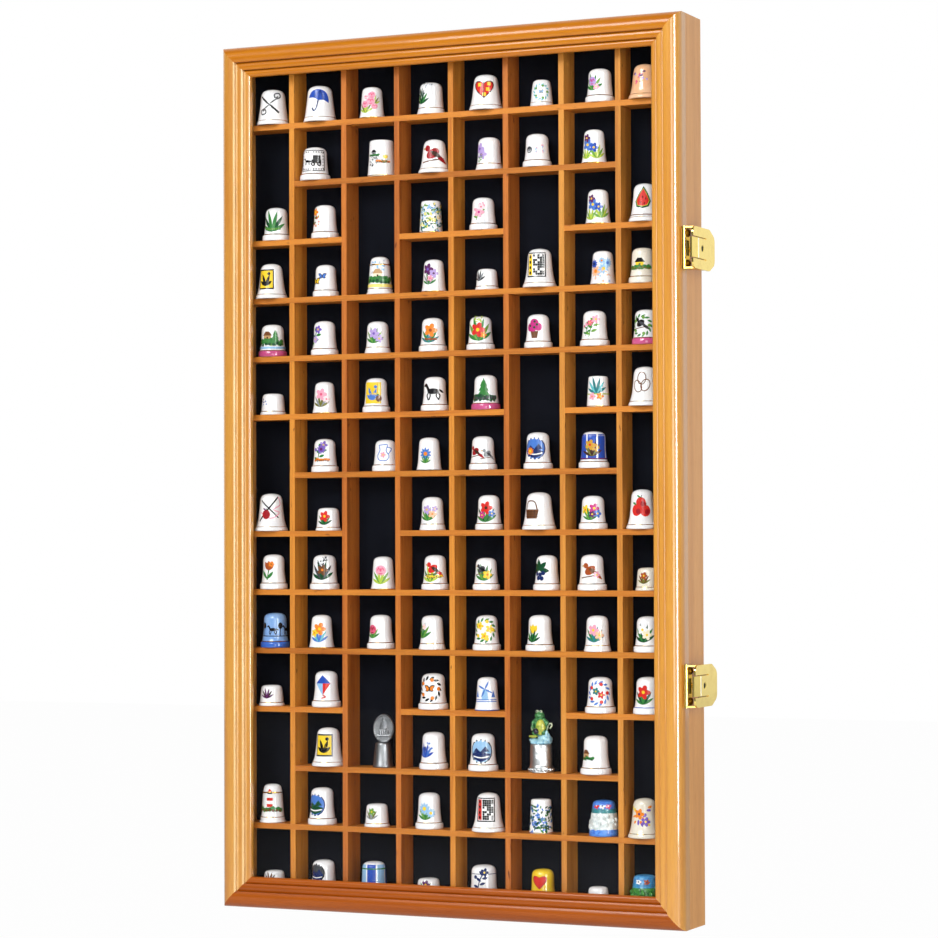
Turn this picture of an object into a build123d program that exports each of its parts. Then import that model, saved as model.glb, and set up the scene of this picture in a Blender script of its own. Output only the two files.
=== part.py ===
from build123d import *
from math import sqrt
import os

# Wall-hung display case for thimbles, in millimetres.
# +Z is up, the wall is the plane Y = 0 and the case stands forward of it along -Y.
# The origin lies in the wall plane, midway between the entry holes of the two hanger plates.
# A "depth" below is a distance forward from the wall, so a point at depth d has Y = -d.

# ---------------------------------------------------------------- driving dimensions
case_width = 348.0
case_height = 610.0
wall = 10.0  # carcase boards

back_recess = 4.0  # from the wall to the back panel
panel_thickness = 3.0
panel_rebate = 5.0  # how far the back panel is let into each board
panel_fit = 0.25
felt_thickness = 1.0
lattice_depth = 19.0
lattice_setback = 2.0  # dividers and shelves stand this far behind the boards' front edges

columns = 8
board_thickness = 3.9  # dividers and shelves
end_row_height = 45.0  # clear height of the first and the last row
lap_fit = 0.1  # slots are this much wider than the board they take
lattice_fit = 0.1  # gap between the lattice and the boards

moulding_width = 21.5
door_thickness = 14.0  # from the door's back to the crest of the moulding
round_radius = 7.5  # outer round, from the flat edge over the crest
round_width = 11.4
step_drop = 2.2
bead_width = 5.4
bead_rise = 0.7
bead_fall = 0.2
lip_front_rise = 0.8
lip_fall = 0.6
rebate_width = 6.0
glass_seat = 5.0  # from the door's back to the lip that the glass lies against
glass_thickness = 2.0
glass_fit = 0.5
glazing_bead_width = 5.0
glazing_bead_gap = 0.2  # bead back to door back
glazing_bead_round = 2.0

hinge_height = 38.0
hinge_leaf_width = 8.5
hinge_leaf_thickness = 1.0
hinge_knuckle_radius = 2.0
hinge_pin_radius = 1.0
hinge_side_gap = 0.2  # knuckle to the side of the case
hinge_knuckle_gap = 0.2
hinge_running_fit = 0.05
hinge_pin_stand = 0.6  # pin end past the last knuckle
hinge_offset = 205.0  # hinge centre from the case's mid-height

latch_upper_offset = 147.0  # latch centres from the case's mid-height
latch_lower_offset = 143.5
latch_height = 28.0
latch_length = 41.5
latch_plate_thickness = 1.2
latch_standoff = 8.6  # side of the case to the inner face of the lever
latch_front_past_seam = 13.5
latch_front_corner = 4.5
latch_rear_taper = 10.0  # length over which the lever's rear end narrows
latch_rear_cut = 5.0  # what the taper takes off each edge
latch_rear_corner = 5.0
cheek_thickness = 1.0
cheek_fit = 0.2
cheek_depth = 20.0  # length of the cheeks along the lever
cheek_root = 1.2
eye_radius = 2.0
slit_offset = 7.1
slit_width = 0.7
slit_length = 25.0  # from the lever's front end
tongue_bend = 9.0  # from the lever's front end to the crease of the tongue
tongue_drop = 0.8
tongue_reach = 0.4  # tongue past the lever's front end
base_thickness = 2.4
base_seam_gap = 0.3
base_knuckle_radius = 1.6
pivot_stand = 1.7  # pivot centre to the side of the case
pivot_past_seam = 9.6
pivot_pin_radius = 0.8
pivot_running_fit = 0.05
pivot_pin_stand = 0.3  # pin end past the lever's cheek
base_window_height = 10.2
base_window_depth = 5.6
base_window_past_seam = 4.4  # middle of the window
base_screw_offset = 10.1
base_screw_past_seam = 3.2
base_screw_radius = 1.2
base_screw_head_radius = 2.7
base_screw_head_height = 1.6
base_screw_crown_radius = 1.6  # flat crown of the tapering head
base_screw_length = 8.0
base_screw_slot = 0.7
dimple_behind_seam = 4.5  # the tongue's dimple and the keeper stud under it
dimple_radius = 2.5
dimple_bottom_radius = 0.9
dimple_depth = 0.9
stud_gap = 0.3  # keeper stud to the inside of the dimple
stud_radius = 1.8
stud_shank_length = 6.0

hanger_drop = 26.0  # top of the case down to the hanger plates' entry holes
hanger_spacing = 240.0
hanger_plate_height = 34.0
hanger_plate_width = 14.0
hanger_plate_thickness = 1.2
hanger_plate_corner = 3.0
hanger_entry_radius = 4.5
hanger_slot_radius = 2.2
hanger_slot_rise = 9.0
batten_height = 40.0
batten_fit = 0.25

# Each row of shelves, from the top: the dividers between which a shelf runs.
# 0 is the left board and the last number is the right board.
shelf_spans = [
    [(0, 8)],
    [(1, 7)],
    [(0, 2), (3, 5), (6, 8)],
    [(0, 8)],
    [(0, 8)],
    [(0, 5), (6, 8)],
    [(1, 7)],
    [(0, 2), (3, 8)],
    [(0, 8)],
    [(0, 8)],
    [(0, 2), (3, 5), (6, 8)],
    [(1, 7)],
    [(0, 8)],
]

# ---------------------------------------------------------------- worked-out dimensions
half_width = case_width / 2
top = hanger_drop
bottom = top - case_height
middle = (top + bottom) / 2
inner_half_width = half_width - wall
inner_top = top - wall
inner_bottom = bottom + wall
inner_height = inner_top - inner_bottom

panel_front = back_recess + panel_thickness
felt_front = panel_front + felt_thickness
lattice_front = felt_front + lattice_depth
seam = lattice_front + lattice_setback  # front of the boards, back of the door
door_front = seam + door_thickness

divider_count = columns - 1
row_count = len(shelf_spans) + 1
cell_width = (2 * inner_half_width - divider_count * board_thickness) / columns
column_pitch = cell_width + board_thickness
shelf_pitch = (inner_height - 2 * end_row_height - board_thickness) / (row_count - 2)

rebate_inset = moulding_width - rebate_width
pivot_x = half_width + pivot_stand
pivot_depth = seam + pivot_past_seam
lever_inner = half_width + latch_standoff
lever_outer = lever_inner + latch_plate_thickness
lever_front = seam + latch_front_past_seam
lever_rear = lever_front - latch_length
dimple_at = seam - dimple_behind_seam
stud_height = latch_standoff - dimple_depth - stud_gap
hinge_x = -half_width - hinge_side_gap - hinge_knuckle_radius

os.makedirs("parts", exist_ok=True)


def place(x, depth, z):
    """A point given by its depth forward of the wall."""
    return (x, -depth, z)


def facing(x, depth, z):
    """A plane at the given depth that faces the viewer: local x is +X, local y is +Z."""
    return Plane(origin=place(x, depth, z), x_dir=(1, 0, 0), z_dir=(0, -1, 0))


def side_plane(x, depth, z):
    """A plane that faces +X: local x is +Y, local y is +Z."""
    return Plane(origin=place(x, depth, z), x_dir=(0, 1, 0), z_dir=(1, 0, 0))


def finish(builder, label):
    """Labels a sub-part and writes its STEP file."""
    builder.part.label = label
    export_step(builder.part, f"parts/{label}.step")


def divider_x(index):
    """Left face of a divider, numbered from 1. 0 gives the left board's inner face less a board."""
    return -inner_half_width - board_thickness + index * column_pitch


def shelf_z(row):
    """Middle height of a row of shelves, numbered from 1."""
    return inner_top - end_row_height - board_thickness / 2 - (row - 1) * shelf_pitch


# ---------------------------------------------------------------- mitred frames


def frame_corners(inset, depth):
    """The four members of a rectangular frame: name, start corner, inward and along directions, length."""
    x = half_width - inset
    high, low = top - inset, bottom + inset
    across, upright = 2 * x, high - low
    return [
        ("left", place(-x, depth, high), (1, 0, 0), (0, 0, -1), upright),
        ("right", place(x, depth, low), (-1, 0, 0), (0, 0, 1), upright),
        ("top", place(x, depth, high), (0, 0, -1), (-1, 0, 0), across),
        ("bottom", place(-x, depth, low), (0, 0, 1), (1, 0, 0), across),
    ]


def mitred_bar(outline, corner, inward, along, length):
    """Adds a bar whose section is drawn inward and forward from its outer corner, mitred at both ends."""
    start = Vector(*corner)
    in_dir, run = Vector(*inward), Vector(*along)
    with BuildSketch(Plane(origin=start, x_dir=in_dir, z_dir=run)) as section:
        with BuildLine():
            outline()
        make_face()
    extrude(section.sketch, amount=length)
    split(bisect_by=Plane(origin=start, z_dir=run - in_dir), keep=Keep.TOP)
    split(bisect_by=Plane(origin=start + run * length, z_dir=-run - in_dir), keep=Keep.TOP)


def board_outline():
    """Carcase board: a plain edge with a rebate for the back panel along its inner back corner."""
    Polyline(
        (0, 0),
        (wall - panel_rebate, 0),
        (wall - panel_rebate, panel_front),
        (wall, panel_front),
        (wall, seam),
        (0, seam),
        close=True,
    )


def moulding_outline():
    """Door moulding: flat edge, outer round, two steps down to the lip and a rebate for the glass."""
    shoulder = door_thickness - round_radius
    round_end = (round_width, shoulder + sqrt(round_radius**2 - (round_width - round_radius) ** 2))
    bead_start = (round_width, round_end[1] - step_drop)
    bead_end = (round_width + bead_width, bead_start[1] - bead_fall)
    bead_crown = (round_width + bead_width / 2, bead_start[1] + bead_rise)
    lip_start = (bead_end[0], bead_end[1] - step_drop)
    lip_end = (moulding_width, lip_start[1] - lip_fall)
    lip_crown = ((lip_start[0] + lip_end[0]) / 2, lip_start[1] + lip_front_rise)
    Line((0, 0), (0, shoulder))
    RadiusArc((0, shoulder), round_end, round_radius)
    Line(round_end, bead_start)
    ThreePointArc(bead_start, bead_crown, bead_end)
    Line(bead_end, lip_start)
    ThreePointArc(lip_start, lip_crown, lip_end)
    Polyline(lip_end, (moulding_width, glass_seat), (rebate_inset, glass_seat), (rebate_inset, 0), (0, 0))


def glazing_outline():
    """Glazing bead: a square strip with its free back corner rounded."""
    depth = glass_seat - glass_thickness - glazing_bead_gap
    Polyline((0, 0), (0, depth), (glazing_bead_width, depth), (glazing_bead_width, glazing_bead_round))
    RadiusArc(
        (glazing_bead_width, glazing_bead_round),
        (glazing_bead_width - glazing_bead_round, 0),
        glazing_bead_round,
    )
    Line((glazing_bead_width - glazing_bead_round, 0), (0, 0))


# ---------------------------------------------------------------- hinges

hinge_heights = {"upper": middle + hinge_offset, "lower": middle - hinge_offset}


def hinge_mortises(depth):
    """Cuts the seats of both hinge leaves, the deeper face of each at the given depth."""
    for z in hinge_heights.values():
        with BuildSketch(facing(-half_width + hinge_leaf_width / 2, depth, z)) as seat:
            Rectangle(hinge_leaf_width, hinge_height)
        extrude(seat.sketch, amount=hinge_leaf_thickness, mode=Mode.SUBTRACT)


def hinge_leaf(z, depth, knuckles):
    """One leaf with its knuckles: spans given as thirds of the hinge's height, from the bottom."""
    third = hinge_height / 3
    low = z - hinge_height / 2
    middle_depth = depth + hinge_leaf_thickness / 2
    with Locations(place(-half_width + hinge_leaf_width / 2, middle_depth, z)):
        Box(hinge_leaf_width, hinge_leaf_thickness, hinge_height)
    for index in knuckles:
        start = low + index * third + (hinge_knuckle_gap / 2 if index > 0 else 0)
        end = low + (index + 1) * third - (hinge_knuckle_gap / 2 if index < 2 else 0)
        with Locations(place(hinge_x, seam, (start + end) / 2)):
            Cylinder(hinge_knuckle_radius, end - start)
        reach = -half_width - hinge_x
        with Locations(place(hinge_x + reach / 2, middle_depth, (start + end) / 2)):
            Box(reach, hinge_leaf_thickness, end - start)


# ---------------------------------------------------------------- carcase

latch_heights = {"upper": middle + latch_upper_offset, "lower": middle - latch_lower_offset}

for side, corner, inward, along, length in frame_corners(0, 0):
    with BuildPart() as board:
        mitred_bar(board_outline, corner, inward, along, length)
        if side == "left":
            hinge_mortises(seam - hinge_leaf_thickness)
        if side == "right":
            for z in latch_heights.values():
                with BuildSketch(side_plane(half_width, dimple_at, z)) as hole:
                    Circle(stud_radius)
                extrude(hole.sketch, amount=-stud_shank_length, mode=Mode.SUBTRACT)
    finish(board, f"carcase_{side}")

panel_width = 2 * (inner_half_width + panel_rebate - panel_fit)
panel_height = inner_height + 2 * (panel_rebate - panel_fit)
batten_z = inner_top + panel_rebate - panel_fit - batten_height / 2
hanger_xs = (-hanger_spacing / 2, hanger_spacing / 2)
hanger_plate_z = (hanger_slot_rise - hanger_entry_radius) / 2


def hanger_plate_outline():
    """The outline of one hanger plate, in the sketch that is being drawn."""
    Rectangle(hanger_plate_width, hanger_plate_height)
    chamfer(vertices(), hanger_plate_corner)


with BuildPart() as back_panel:
    with BuildSketch(facing(0, back_recess, middle)):
        Rectangle(panel_width, panel_height)
    extrude(amount=panel_thickness)
finish(back_panel, "back_panel")

with BuildPart() as felt_liner:
    with BuildSketch(facing(0, panel_front, middle)):
        Rectangle(2 * inner_half_width, inner_height)
    extrude(amount=felt_thickness)
finish(felt_liner, "felt_liner")

with BuildPart() as hanging_batten:
    with BuildSketch(facing(0, 0, batten_z)):
        Rectangle(panel_width, batten_height)
    extrude(amount=back_recess)
    for x in hanger_xs:
        with BuildSketch(facing(x, 0, hanger_plate_z)):
            hanger_plate_outline()
        extrude(amount=hanger_plate_thickness, mode=Mode.SUBTRACT)
        with BuildSketch(facing(x, 0, hanger_slot_rise / 2)):
            SlotCenterToCenter(hanger_slot_rise, 2 * hanger_entry_radius, rotation=90)
        extrude(amount=back_recess, mode=Mode.SUBTRACT)
finish(hanging_batten, "hanging_batten")

with BuildPart() as hanger_plates:
    for x in hanger_xs:
        with BuildSketch(facing(x, 0, hanger_plate_z)):
            hanger_plate_outline()
        extrude(amount=hanger_plate_thickness)
        with BuildSketch(facing(x, 0, 0)):
            Circle(hanger_entry_radius)
            with Locations((0, hanger_slot_rise / 2)):
                SlotCenterToCenter(hanger_slot_rise, 2 * hanger_slot_radius, rotation=90)
        extrude(amount=hanger_plate_thickness, mode=Mode.SUBTRACT)
finish(hanger_plates, "hanger_plates")

# ---------------------------------------------------------------- lattice of dividers and shelves

lattice_depth_middle = felt_front + lattice_depth / 2
lap = lattice_depth / 2
slot_width = board_thickness + lap_fit


def passes(index, row):
    """Whether a shelf of the row runs through the divider, so that the two are slotted together."""
    return any(start < index < end for start, end in shelf_spans[row - 1])


for index in range(1, columns):
    x = divider_x(index) + board_thickness / 2
    with BuildPart() as divider:
        with Locations(place(x, lattice_depth_middle, middle)):
            Box(board_thickness, lattice_depth, inner_height - 2 * lattice_fit)
        slots = [shelf_z(row) for row in range(1, row_count) if passes(index, row)]
        with Locations([place(x, lattice_front - lap / 2, z) for z in slots]):
            Box(board_thickness, lap, slot_width, mode=Mode.SUBTRACT)
    finish(divider, f"divider_{index}")

for row in range(1, row_count):
    z = shelf_z(row)
    with BuildPart() as shelf:
        for first, last in shelf_spans[row - 1]:
            left = divider_x(first) + board_thickness + (lattice_fit if first == 0 else 0)
            right = divider_x(last) - (lattice_fit if last == columns else 0)
            with Locations(place((left + right) / 2, lattice_depth_middle, z)):
                Box(right - left, lattice_depth, board_thickness)
            crossed = [divider_x(index) + board_thickness / 2 for index in range(first + 1, last)]
            with Locations([place(x, felt_front + lap / 2, z) for x in crossed]):
                Box(slot_width, lap, board_thickness, mode=Mode.SUBTRACT)
    finish(shelf, f"shelf_{row:02d}")

# ---------------------------------------------------------------- door

latch_screw_heights = [z + step for z in latch_heights.values() for step in (-base_screw_offset, base_screw_offset)]


for side, corner, inward, along, length in frame_corners(0, seam):
    with BuildPart() as member:
        mitred_bar(moulding_outline, corner, inward, along, length)
        if side == "left":
            hinge_mortises(seam)
        if side == "right":
            for z in latch_screw_heights:
                with BuildSketch(side_plane(half_width, seam + base_screw_past_seam, z)) as hole:
                    Circle(base_screw_radius)
                extrude(hole.sketch, amount=base_thickness - base_screw_length, mode=Mode.SUBTRACT)
    finish(member, f"door_{side}")

glass_inset = rebate_inset + glass_fit

with BuildPart() as door_glass:
    with BuildSketch(facing(0, seam + glass_seat - glass_thickness, middle)):
        Rectangle(case_width - 2 * glass_inset, case_height - 2 * glass_inset)
    extrude(amount=glass_thickness)
finish(door_glass, "door_glass")

for side, corner, inward, along, length in frame_corners(rebate_inset, seam + glazing_bead_gap):
    with BuildPart() as bead:
        mitred_bar(glazing_outline, corner, inward, along, length)
    finish(bead, f"glazing_bead_{side}")

# ---------------------------------------------------------------- hinges

for name, z in hinge_heights.items():
    with BuildPart() as carcase_leaf:
        hinge_leaf(z, seam - hinge_leaf_thickness, (0, 2))
        with Locations(place(hinge_x, seam, z)):
            Cylinder(hinge_pin_radius, hinge_height, mode=Mode.SUBTRACT)
    finish(carcase_leaf, f"hinge_{name}_carcase_leaf")

    with BuildPart() as door_leaf:
        hinge_leaf(z, seam, (1,))
        with Locations(place(hinge_x, seam, z)):
            Cylinder(hinge_pin_radius + hinge_running_fit, hinge_height, mode=Mode.SUBTRACT)
    finish(door_leaf, f"hinge_{name}_door_leaf")

    with BuildPart() as hinge_pin:
        with Locations(place(hinge_x, seam, z)):
            Cylinder(hinge_pin_radius, hinge_height + 2 * hinge_pin_stand)
    finish(hinge_pin, f"hinge_{name}_pin")

# ---------------------------------------------------------------- latches

base_height = latch_height - 2 * (cheek_thickness + cheek_fit)
base_depth = pivot_past_seam - base_seam_gap  # from the seam side of the plate to the pivot
tongue_half = slit_offset - slit_width / 2
full_length = latch_length - latch_rear_taper  # the part of the lever that has the full height
cheek_front = lever_front - latch_front_corner
cheek_width = latch_plate_thickness + cheek_root
tongue_crease = lever_front - tongue_bend
tongue_tip = lever_front + tongue_reach
slit_rest = slit_length - tongue_bend  # what is left of the slits behind the crease
slit_x = -tongue_crease + slit_rest / 2


def turned(outline, x, depth, z, mode=Mode.ADD):
    """A turned piece whose axis points out of the case's side: outline points are (radius, height)."""
    axis_plane = Plane(origin=place(x, depth, z), x_dir=(0, 0, 1), z_dir=(0, 1, 0))
    with BuildSketch(axis_plane) as half:
        with BuildLine():
            outline()
        make_face()
    revolve(half.sketch, axis=Axis(place(x, depth, z), (1, 0, 0)), mode=mode)


def stud_outline():
    """Keeper stud: a plain post whose lower end is let into the board."""
    Polyline(
        (0, stud_height),
        (0, -stud_shank_length),
        (stud_radius, -stud_shank_length),
        (stud_radius, stud_height),
        close=True,
    )


def base_screw_outline():
    """Latch screw: its shank is in the door and its tapering head stands on the latch base."""
    Polyline(
        (0, base_screw_head_height),
        (0, -base_screw_length),
        (base_screw_radius, -base_screw_length),
        (base_screw_radius, 0),
        (base_screw_head_radius, 0),
        (base_screw_crown_radius, base_screw_head_height),
        close=True,
    )


def dimple_outline():
    """Pressed dimple, its mouth at height 0: a dish outside the lever and the same bump inside."""
    Polyline((0, 0), (0, -dimple_depth), (dimple_bottom_radius, -dimple_depth), (dimple_radius, 0), close=True)


for name, z in latch_heights.items():
    with BuildPart() as latch_base:
        with Locations(place(half_width + base_thickness / 2, pivot_depth - base_depth / 2, z)):
            Box(base_thickness, base_depth, base_height)
        with Locations(place(pivot_x, pivot_depth, z)):
            Cylinder(base_knuckle_radius, base_height)
            Cylinder(pivot_pin_radius, base_height, mode=Mode.SUBTRACT)
        with Locations(place(half_width + base_thickness / 2, seam + base_window_past_seam, z)):
            Box(base_thickness, base_window_depth, base_window_height, mode=Mode.SUBTRACT)
        for offset in (-base_screw_offset, base_screw_offset):
            with BuildSketch(side_plane(half_width, seam + base_screw_past_seam, z + offset)) as hole:
                Circle(base_screw_radius)
            extrude(hole.sketch, amount=base_thickness, mode=Mode.SUBTRACT)
    finish(latch_base, f"latch_{name}_base")

    with BuildPart() as latch_pin:
        with Locations(place(pivot_x, pivot_depth, z)):
            Cylinder(pivot_pin_radius, latch_height + 2 * pivot_pin_stand)
    finish(latch_pin, f"latch_{name}_pin")

    with BuildPart() as latch_lever:
        with BuildSketch(side_plane(lever_inner, 0, z)):
            with Locations((-(lever_front + lever_rear) / 2, 0)):
                Rectangle(latch_length, latch_height - 2 * latch_rear_cut)
            with Locations((-lever_front + full_length / 2, 0)):
                Rectangle(full_length, latch_height)
            make_hull()
            fillet(vertices().sort_by(Axis.X)[2:], latch_rear_corner)
            fillet(vertices().sort_by(Axis.X)[:2], latch_front_corner)
            with Locations((-lever_front + tongue_bend / 2, 0)):
                Rectangle(tongue_bend, 2 * slit_offset + slit_width, mode=Mode.SUBTRACT)
            with Locations((slit_x, -slit_offset), (slit_x, slit_offset)):
                Rectangle(slit_rest, slit_width, mode=Mode.SUBTRACT)
        extrude(amount=latch_plate_thickness)
        with BuildSketch(Plane.XY.offset(z - tongue_half)):
            with BuildLine():
                Polyline(
                    (lever_inner, -tongue_crease),
                    (lever_outer, -tongue_crease),
                    (lever_outer - tongue_drop, -tongue_tip),
                    (lever_inner - tongue_drop, -tongue_tip),
                    close=True,
                )
            make_face()
        extrude(amount=2 * tongue_half)
        for low in (z - latch_height / 2, z + latch_height / 2 - cheek_thickness):
            with BuildSketch(Plane.XY.offset(low)):
                with Locations((pivot_x, -pivot_depth)):
                    Circle(eye_radius)
                with Locations((lever_outer - cheek_width / 2, -cheek_front + cheek_depth / 2)):
                    Rectangle(cheek_width, cheek_depth)
                make_hull()
                with Locations((pivot_x, -pivot_depth)):
                    Circle(pivot_pin_radius + pivot_running_fit, mode=Mode.SUBTRACT)
            extrude(amount=cheek_thickness)
        turned(dimple_outline, lever_inner, dimple_at, z)
        turned(dimple_outline, lever_outer, dimple_at, z, Mode.SUBTRACT)
    finish(latch_lever, f"latch_{name}_lever")

    with BuildPart() as keeper_stud:
        turned(stud_outline, half_width, dimple_at, z)
    finish(keeper_stud, f"latch_{name}_keeper_stud")

with BuildPart() as latch_screws:
    for z in latch_screw_heights:
        head_x = half_width + base_thickness
        turned(base_screw_outline, head_x, seam + base_screw_past_seam, z)
        with Locations(place(head_x + base_screw_head_height, seam + base_screw_past_seam, z)):
            Box(base_screw_head_height, 2 * base_screw_head_radius, base_screw_slot, mode=Mode.SUBTRACT)
finish(latch_screws, "latch_screws")
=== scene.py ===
"""Looks of a wall-hung thimble display case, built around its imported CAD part.

Sizes are in millimetres in the part's own frame: +Z is up, the wall is the plane Y = 0 and
the case stands forward of it along -Y. A depth is a distance forward from the wall.
"""

from __future__ import annotations

import logging
import random
from collections.abc import Callable, Iterable, Sequence
from dataclasses import dataclass, field
from enum import Enum
from math import acos, ceil, cos, degrees, dist, hypot, pi, radians, sin, sqrt
from typing import Protocol

import bmesh
import bpy
from mathutils import Matrix, Vector, noise


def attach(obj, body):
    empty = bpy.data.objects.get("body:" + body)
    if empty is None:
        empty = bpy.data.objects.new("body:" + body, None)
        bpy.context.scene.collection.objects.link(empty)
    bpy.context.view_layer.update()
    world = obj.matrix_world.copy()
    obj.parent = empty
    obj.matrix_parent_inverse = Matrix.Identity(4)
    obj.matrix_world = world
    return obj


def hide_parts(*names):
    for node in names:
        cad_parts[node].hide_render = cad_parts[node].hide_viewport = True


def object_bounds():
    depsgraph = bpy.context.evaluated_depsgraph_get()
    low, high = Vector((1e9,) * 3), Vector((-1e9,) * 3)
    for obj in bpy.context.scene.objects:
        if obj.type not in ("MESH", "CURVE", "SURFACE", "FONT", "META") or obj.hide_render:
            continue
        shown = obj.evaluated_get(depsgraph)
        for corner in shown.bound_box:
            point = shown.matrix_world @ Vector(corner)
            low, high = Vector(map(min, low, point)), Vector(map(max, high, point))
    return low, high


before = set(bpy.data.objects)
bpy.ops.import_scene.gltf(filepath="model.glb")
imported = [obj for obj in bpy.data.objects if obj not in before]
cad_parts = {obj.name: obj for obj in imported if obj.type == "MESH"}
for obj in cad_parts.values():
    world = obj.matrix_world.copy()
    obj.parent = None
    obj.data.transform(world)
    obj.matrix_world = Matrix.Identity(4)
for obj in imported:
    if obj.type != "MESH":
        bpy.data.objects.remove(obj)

CAD_BOX = [list(corner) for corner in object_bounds()]
MM = 0.001
PICTURE_SIDE = 938
log = logging.getLogger("display_case")

Colour = tuple[float, float, float]
Point = tuple[float, float]
Material = bpy.types.Material
Socket = bpy.types.NodeSocket


def paint(red: int, green: int, blue: int) -> Colour:
    """A colour given as it is seen, 0 to 255, as the linear numbers that a shader takes."""
    def linear(part: int) -> float:
        """One part of the colour, made linear."""
        share = part / 255
        return share / 12.92 if share <= 0.04045 else ((share + 0.055) / 1.055) ** 2.4
    return (linear(red), linear(green), linear(blue))


def lighter(colour: Colour, by: float) -> Colour:
    """The colour times a number, held at white."""
    return tuple(min(1.0, part * by) for part in colour)


# ---------------------------------------------------------------- shader maths
class Value:
    """A number that a node gives, on which Python's operators add Math nodes."""

    def __init__(self, bench: Bench, socket: Socket) -> None:
        """Keeps the socket and the bench on which new nodes are put."""
        self.bench = bench
        self.socket = socket

    def math(self, operation: str, *terms: Value | float, clamp: bool = False) -> Value:
        """The result of one Math node on the terms given.

        Args:
            operation: The Math node's operation.
            terms: The node's inputs in order.
            clamp: Whether the result is held between 0 and 1.

        Returns:
            The node's output.
        """
        settings = {"operation": operation, "use_clamp": clamp}
        node = self.bench.node("ShaderNodeMath", settings, dict(enumerate(terms)))
        return Value(self.bench, node.outputs[0])

    def __add__(self, other: Value | float) -> Value:
        """self + other."""
        return self.math("ADD", self, other)

    def __sub__(self, other: Value | float) -> Value:
        """self - other."""
        return self.math("SUBTRACT", self, other)

    def __rsub__(self, other: Value | float) -> Value:
        """other - self."""
        return self.math("SUBTRACT", other, self)

    def __mul__(self, other: Value | float) -> Value:
        """self * other."""
        return self.math("MULTIPLY", self, other)

    def __abs__(self) -> Value:
        """The size without its sign."""
        return self.math("ABSOLUTE", self)

    def rising(self, start: float, stop: float) -> Value:
        """0 up to start, 1 from stop on, and a smooth rise between them."""
        node = self.bench.node(
            "ShaderNodeMapRange", {"interpolation_type": "SMOOTHSTEP"},
            {"Value": self, "From Min": start, "From Max": stop},
        )
        return Value(self.bench, node.outputs["Result"])

    def falling(self, start: float, stop: float) -> Value:
        """1 up to start, 0 from stop on, and a smooth fall between them."""
        return 1 - self.rising(start, stop)

    def most(self, other: Value | float) -> Value:
        """The larger of the two."""
        return self.math("MAXIMUM", self, other)

    def least(self, other: Value | float) -> Value:
        """The smaller of the two."""
        return self.math("MINIMUM", self, other)

    def held(self) -> Value:
        """The number held between 0 and 1."""
        return self.math("ADD", self, 0.0, clamp=True)


Feed = Value | Socket | float | Sequence[float]


class Bench:
    """One material, or the world, while its nodes are being laid out."""

    def __init__(self, name: str, world: bpy.types.World | None = None) -> None:
        """Starts an empty material of that name, or empties the world given."""
        self.material = world or bpy.data.materials.new(name)
        self.material.use_nodes = True
        self.nodes = self.material.node_tree.nodes
        self.links = self.material.node_tree.links
        self.nodes.clear()

    def node(self, kind: str, settings: dict | None = None, sockets: dict | None = None) -> bpy.types.Node:
        """Adds a node.

        Args:
            kind: The node's type.
            settings: The node's own properties.
            sockets: What goes into each input, by the input's name or number.

        Returns:
            The node.
        """
        node = self.nodes.new(kind)
        for key, setting in (settings or {}).items():
            setattr(node, key, setting)
        for key, feed in (sockets or {}).items():
            self.feed(node.inputs[key], feed)
        return node

    def feed(self, target: Socket, feed: Feed) -> None:
        """Links or sets one input."""
        if isinstance(feed, Value):
            self.links.new(feed.socket, target)
        elif isinstance(feed, Socket):
            self.links.new(feed, target)
        elif target.type == "RGBA" and len(feed) == 3:
            target.default_value = (*feed, 1.0)
        else:
            target.default_value = feed

    def place(self) -> tuple[Value, Value, Value]:
        """Where a surface point is in the part's frame, in millimetres."""
        coordinates = self.node("ShaderNodeTexCoord").outputs["Object"]
        parts = self.node("ShaderNodeSeparateXYZ", None, {0: coordinates}).outputs
        return tuple(Value(self, part) * (1 / MM) for part in parts)

    def joined(self, x: Feed, y: Feed, z: Feed) -> Socket:
        """A vector from its three parts."""
        return self.node("ShaderNodeCombineXYZ", None, {0: x, 1: y, 2: z}).outputs[0]

    def noise(self, x: Feed, y: Feed, z: Feed, detail: float = 2.0, rough: float = 0.5) -> Value:
        """Noise from 0 to 1 at a place."""
        sockets = {"Vector": self.joined(x, y, z), "Scale": 1.0, "Detail": detail, "Roughness": rough}
        return Value(self, self.node("ShaderNodeTexNoise", None, sockets).outputs[0])

    def mixed(self, share: Feed, first: Feed, second: Feed, how: str = "MIX") -> Socket:
        """Two colours mixed, the second with that share."""
        settings = {"data_type": "RGBA", "blend_type": how, "clamp_factor": True}
        return self.node("ShaderNodeMix", settings, {0: share, 6: first, 7: second}).outputs[2]

    def bump(self, height: Value, distance: float, strength: float = 1.0) -> Socket:
        """A normal from a height in millimetres that is 1 at distance."""
        sockets = {"Height": height, "Distance": distance * MM, "Strength": strength}
        return self.node("ShaderNodeBump", None, sockets).outputs[0]

    def principled(self, **sockets: Feed) -> Socket:
        """A Principled shader; an underscore in a name stands for a blank."""
        named = {name.replace("_", " "): feed for name, feed in sockets.items()}
        return self.node("ShaderNodeBsdfPrincipled", None, named).outputs[0]

    def done(self, surface: Socket) -> Material:
        """Joins the surface to the output and hands the material over."""
        self.node("ShaderNodeOutputMaterial", None, {"Surface": surface})
        return self.material


# ---------------------------------------------------------------- finishes
class Finish(Protocol):
    """A surface that can make its own material."""

    def material(self, name: str) -> Material:
        """The material of that name."""


class Run(Enum):
    """The way the grain of a board runs."""

    ALONG_X = "x"
    ALONG_Z = "z"


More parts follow.
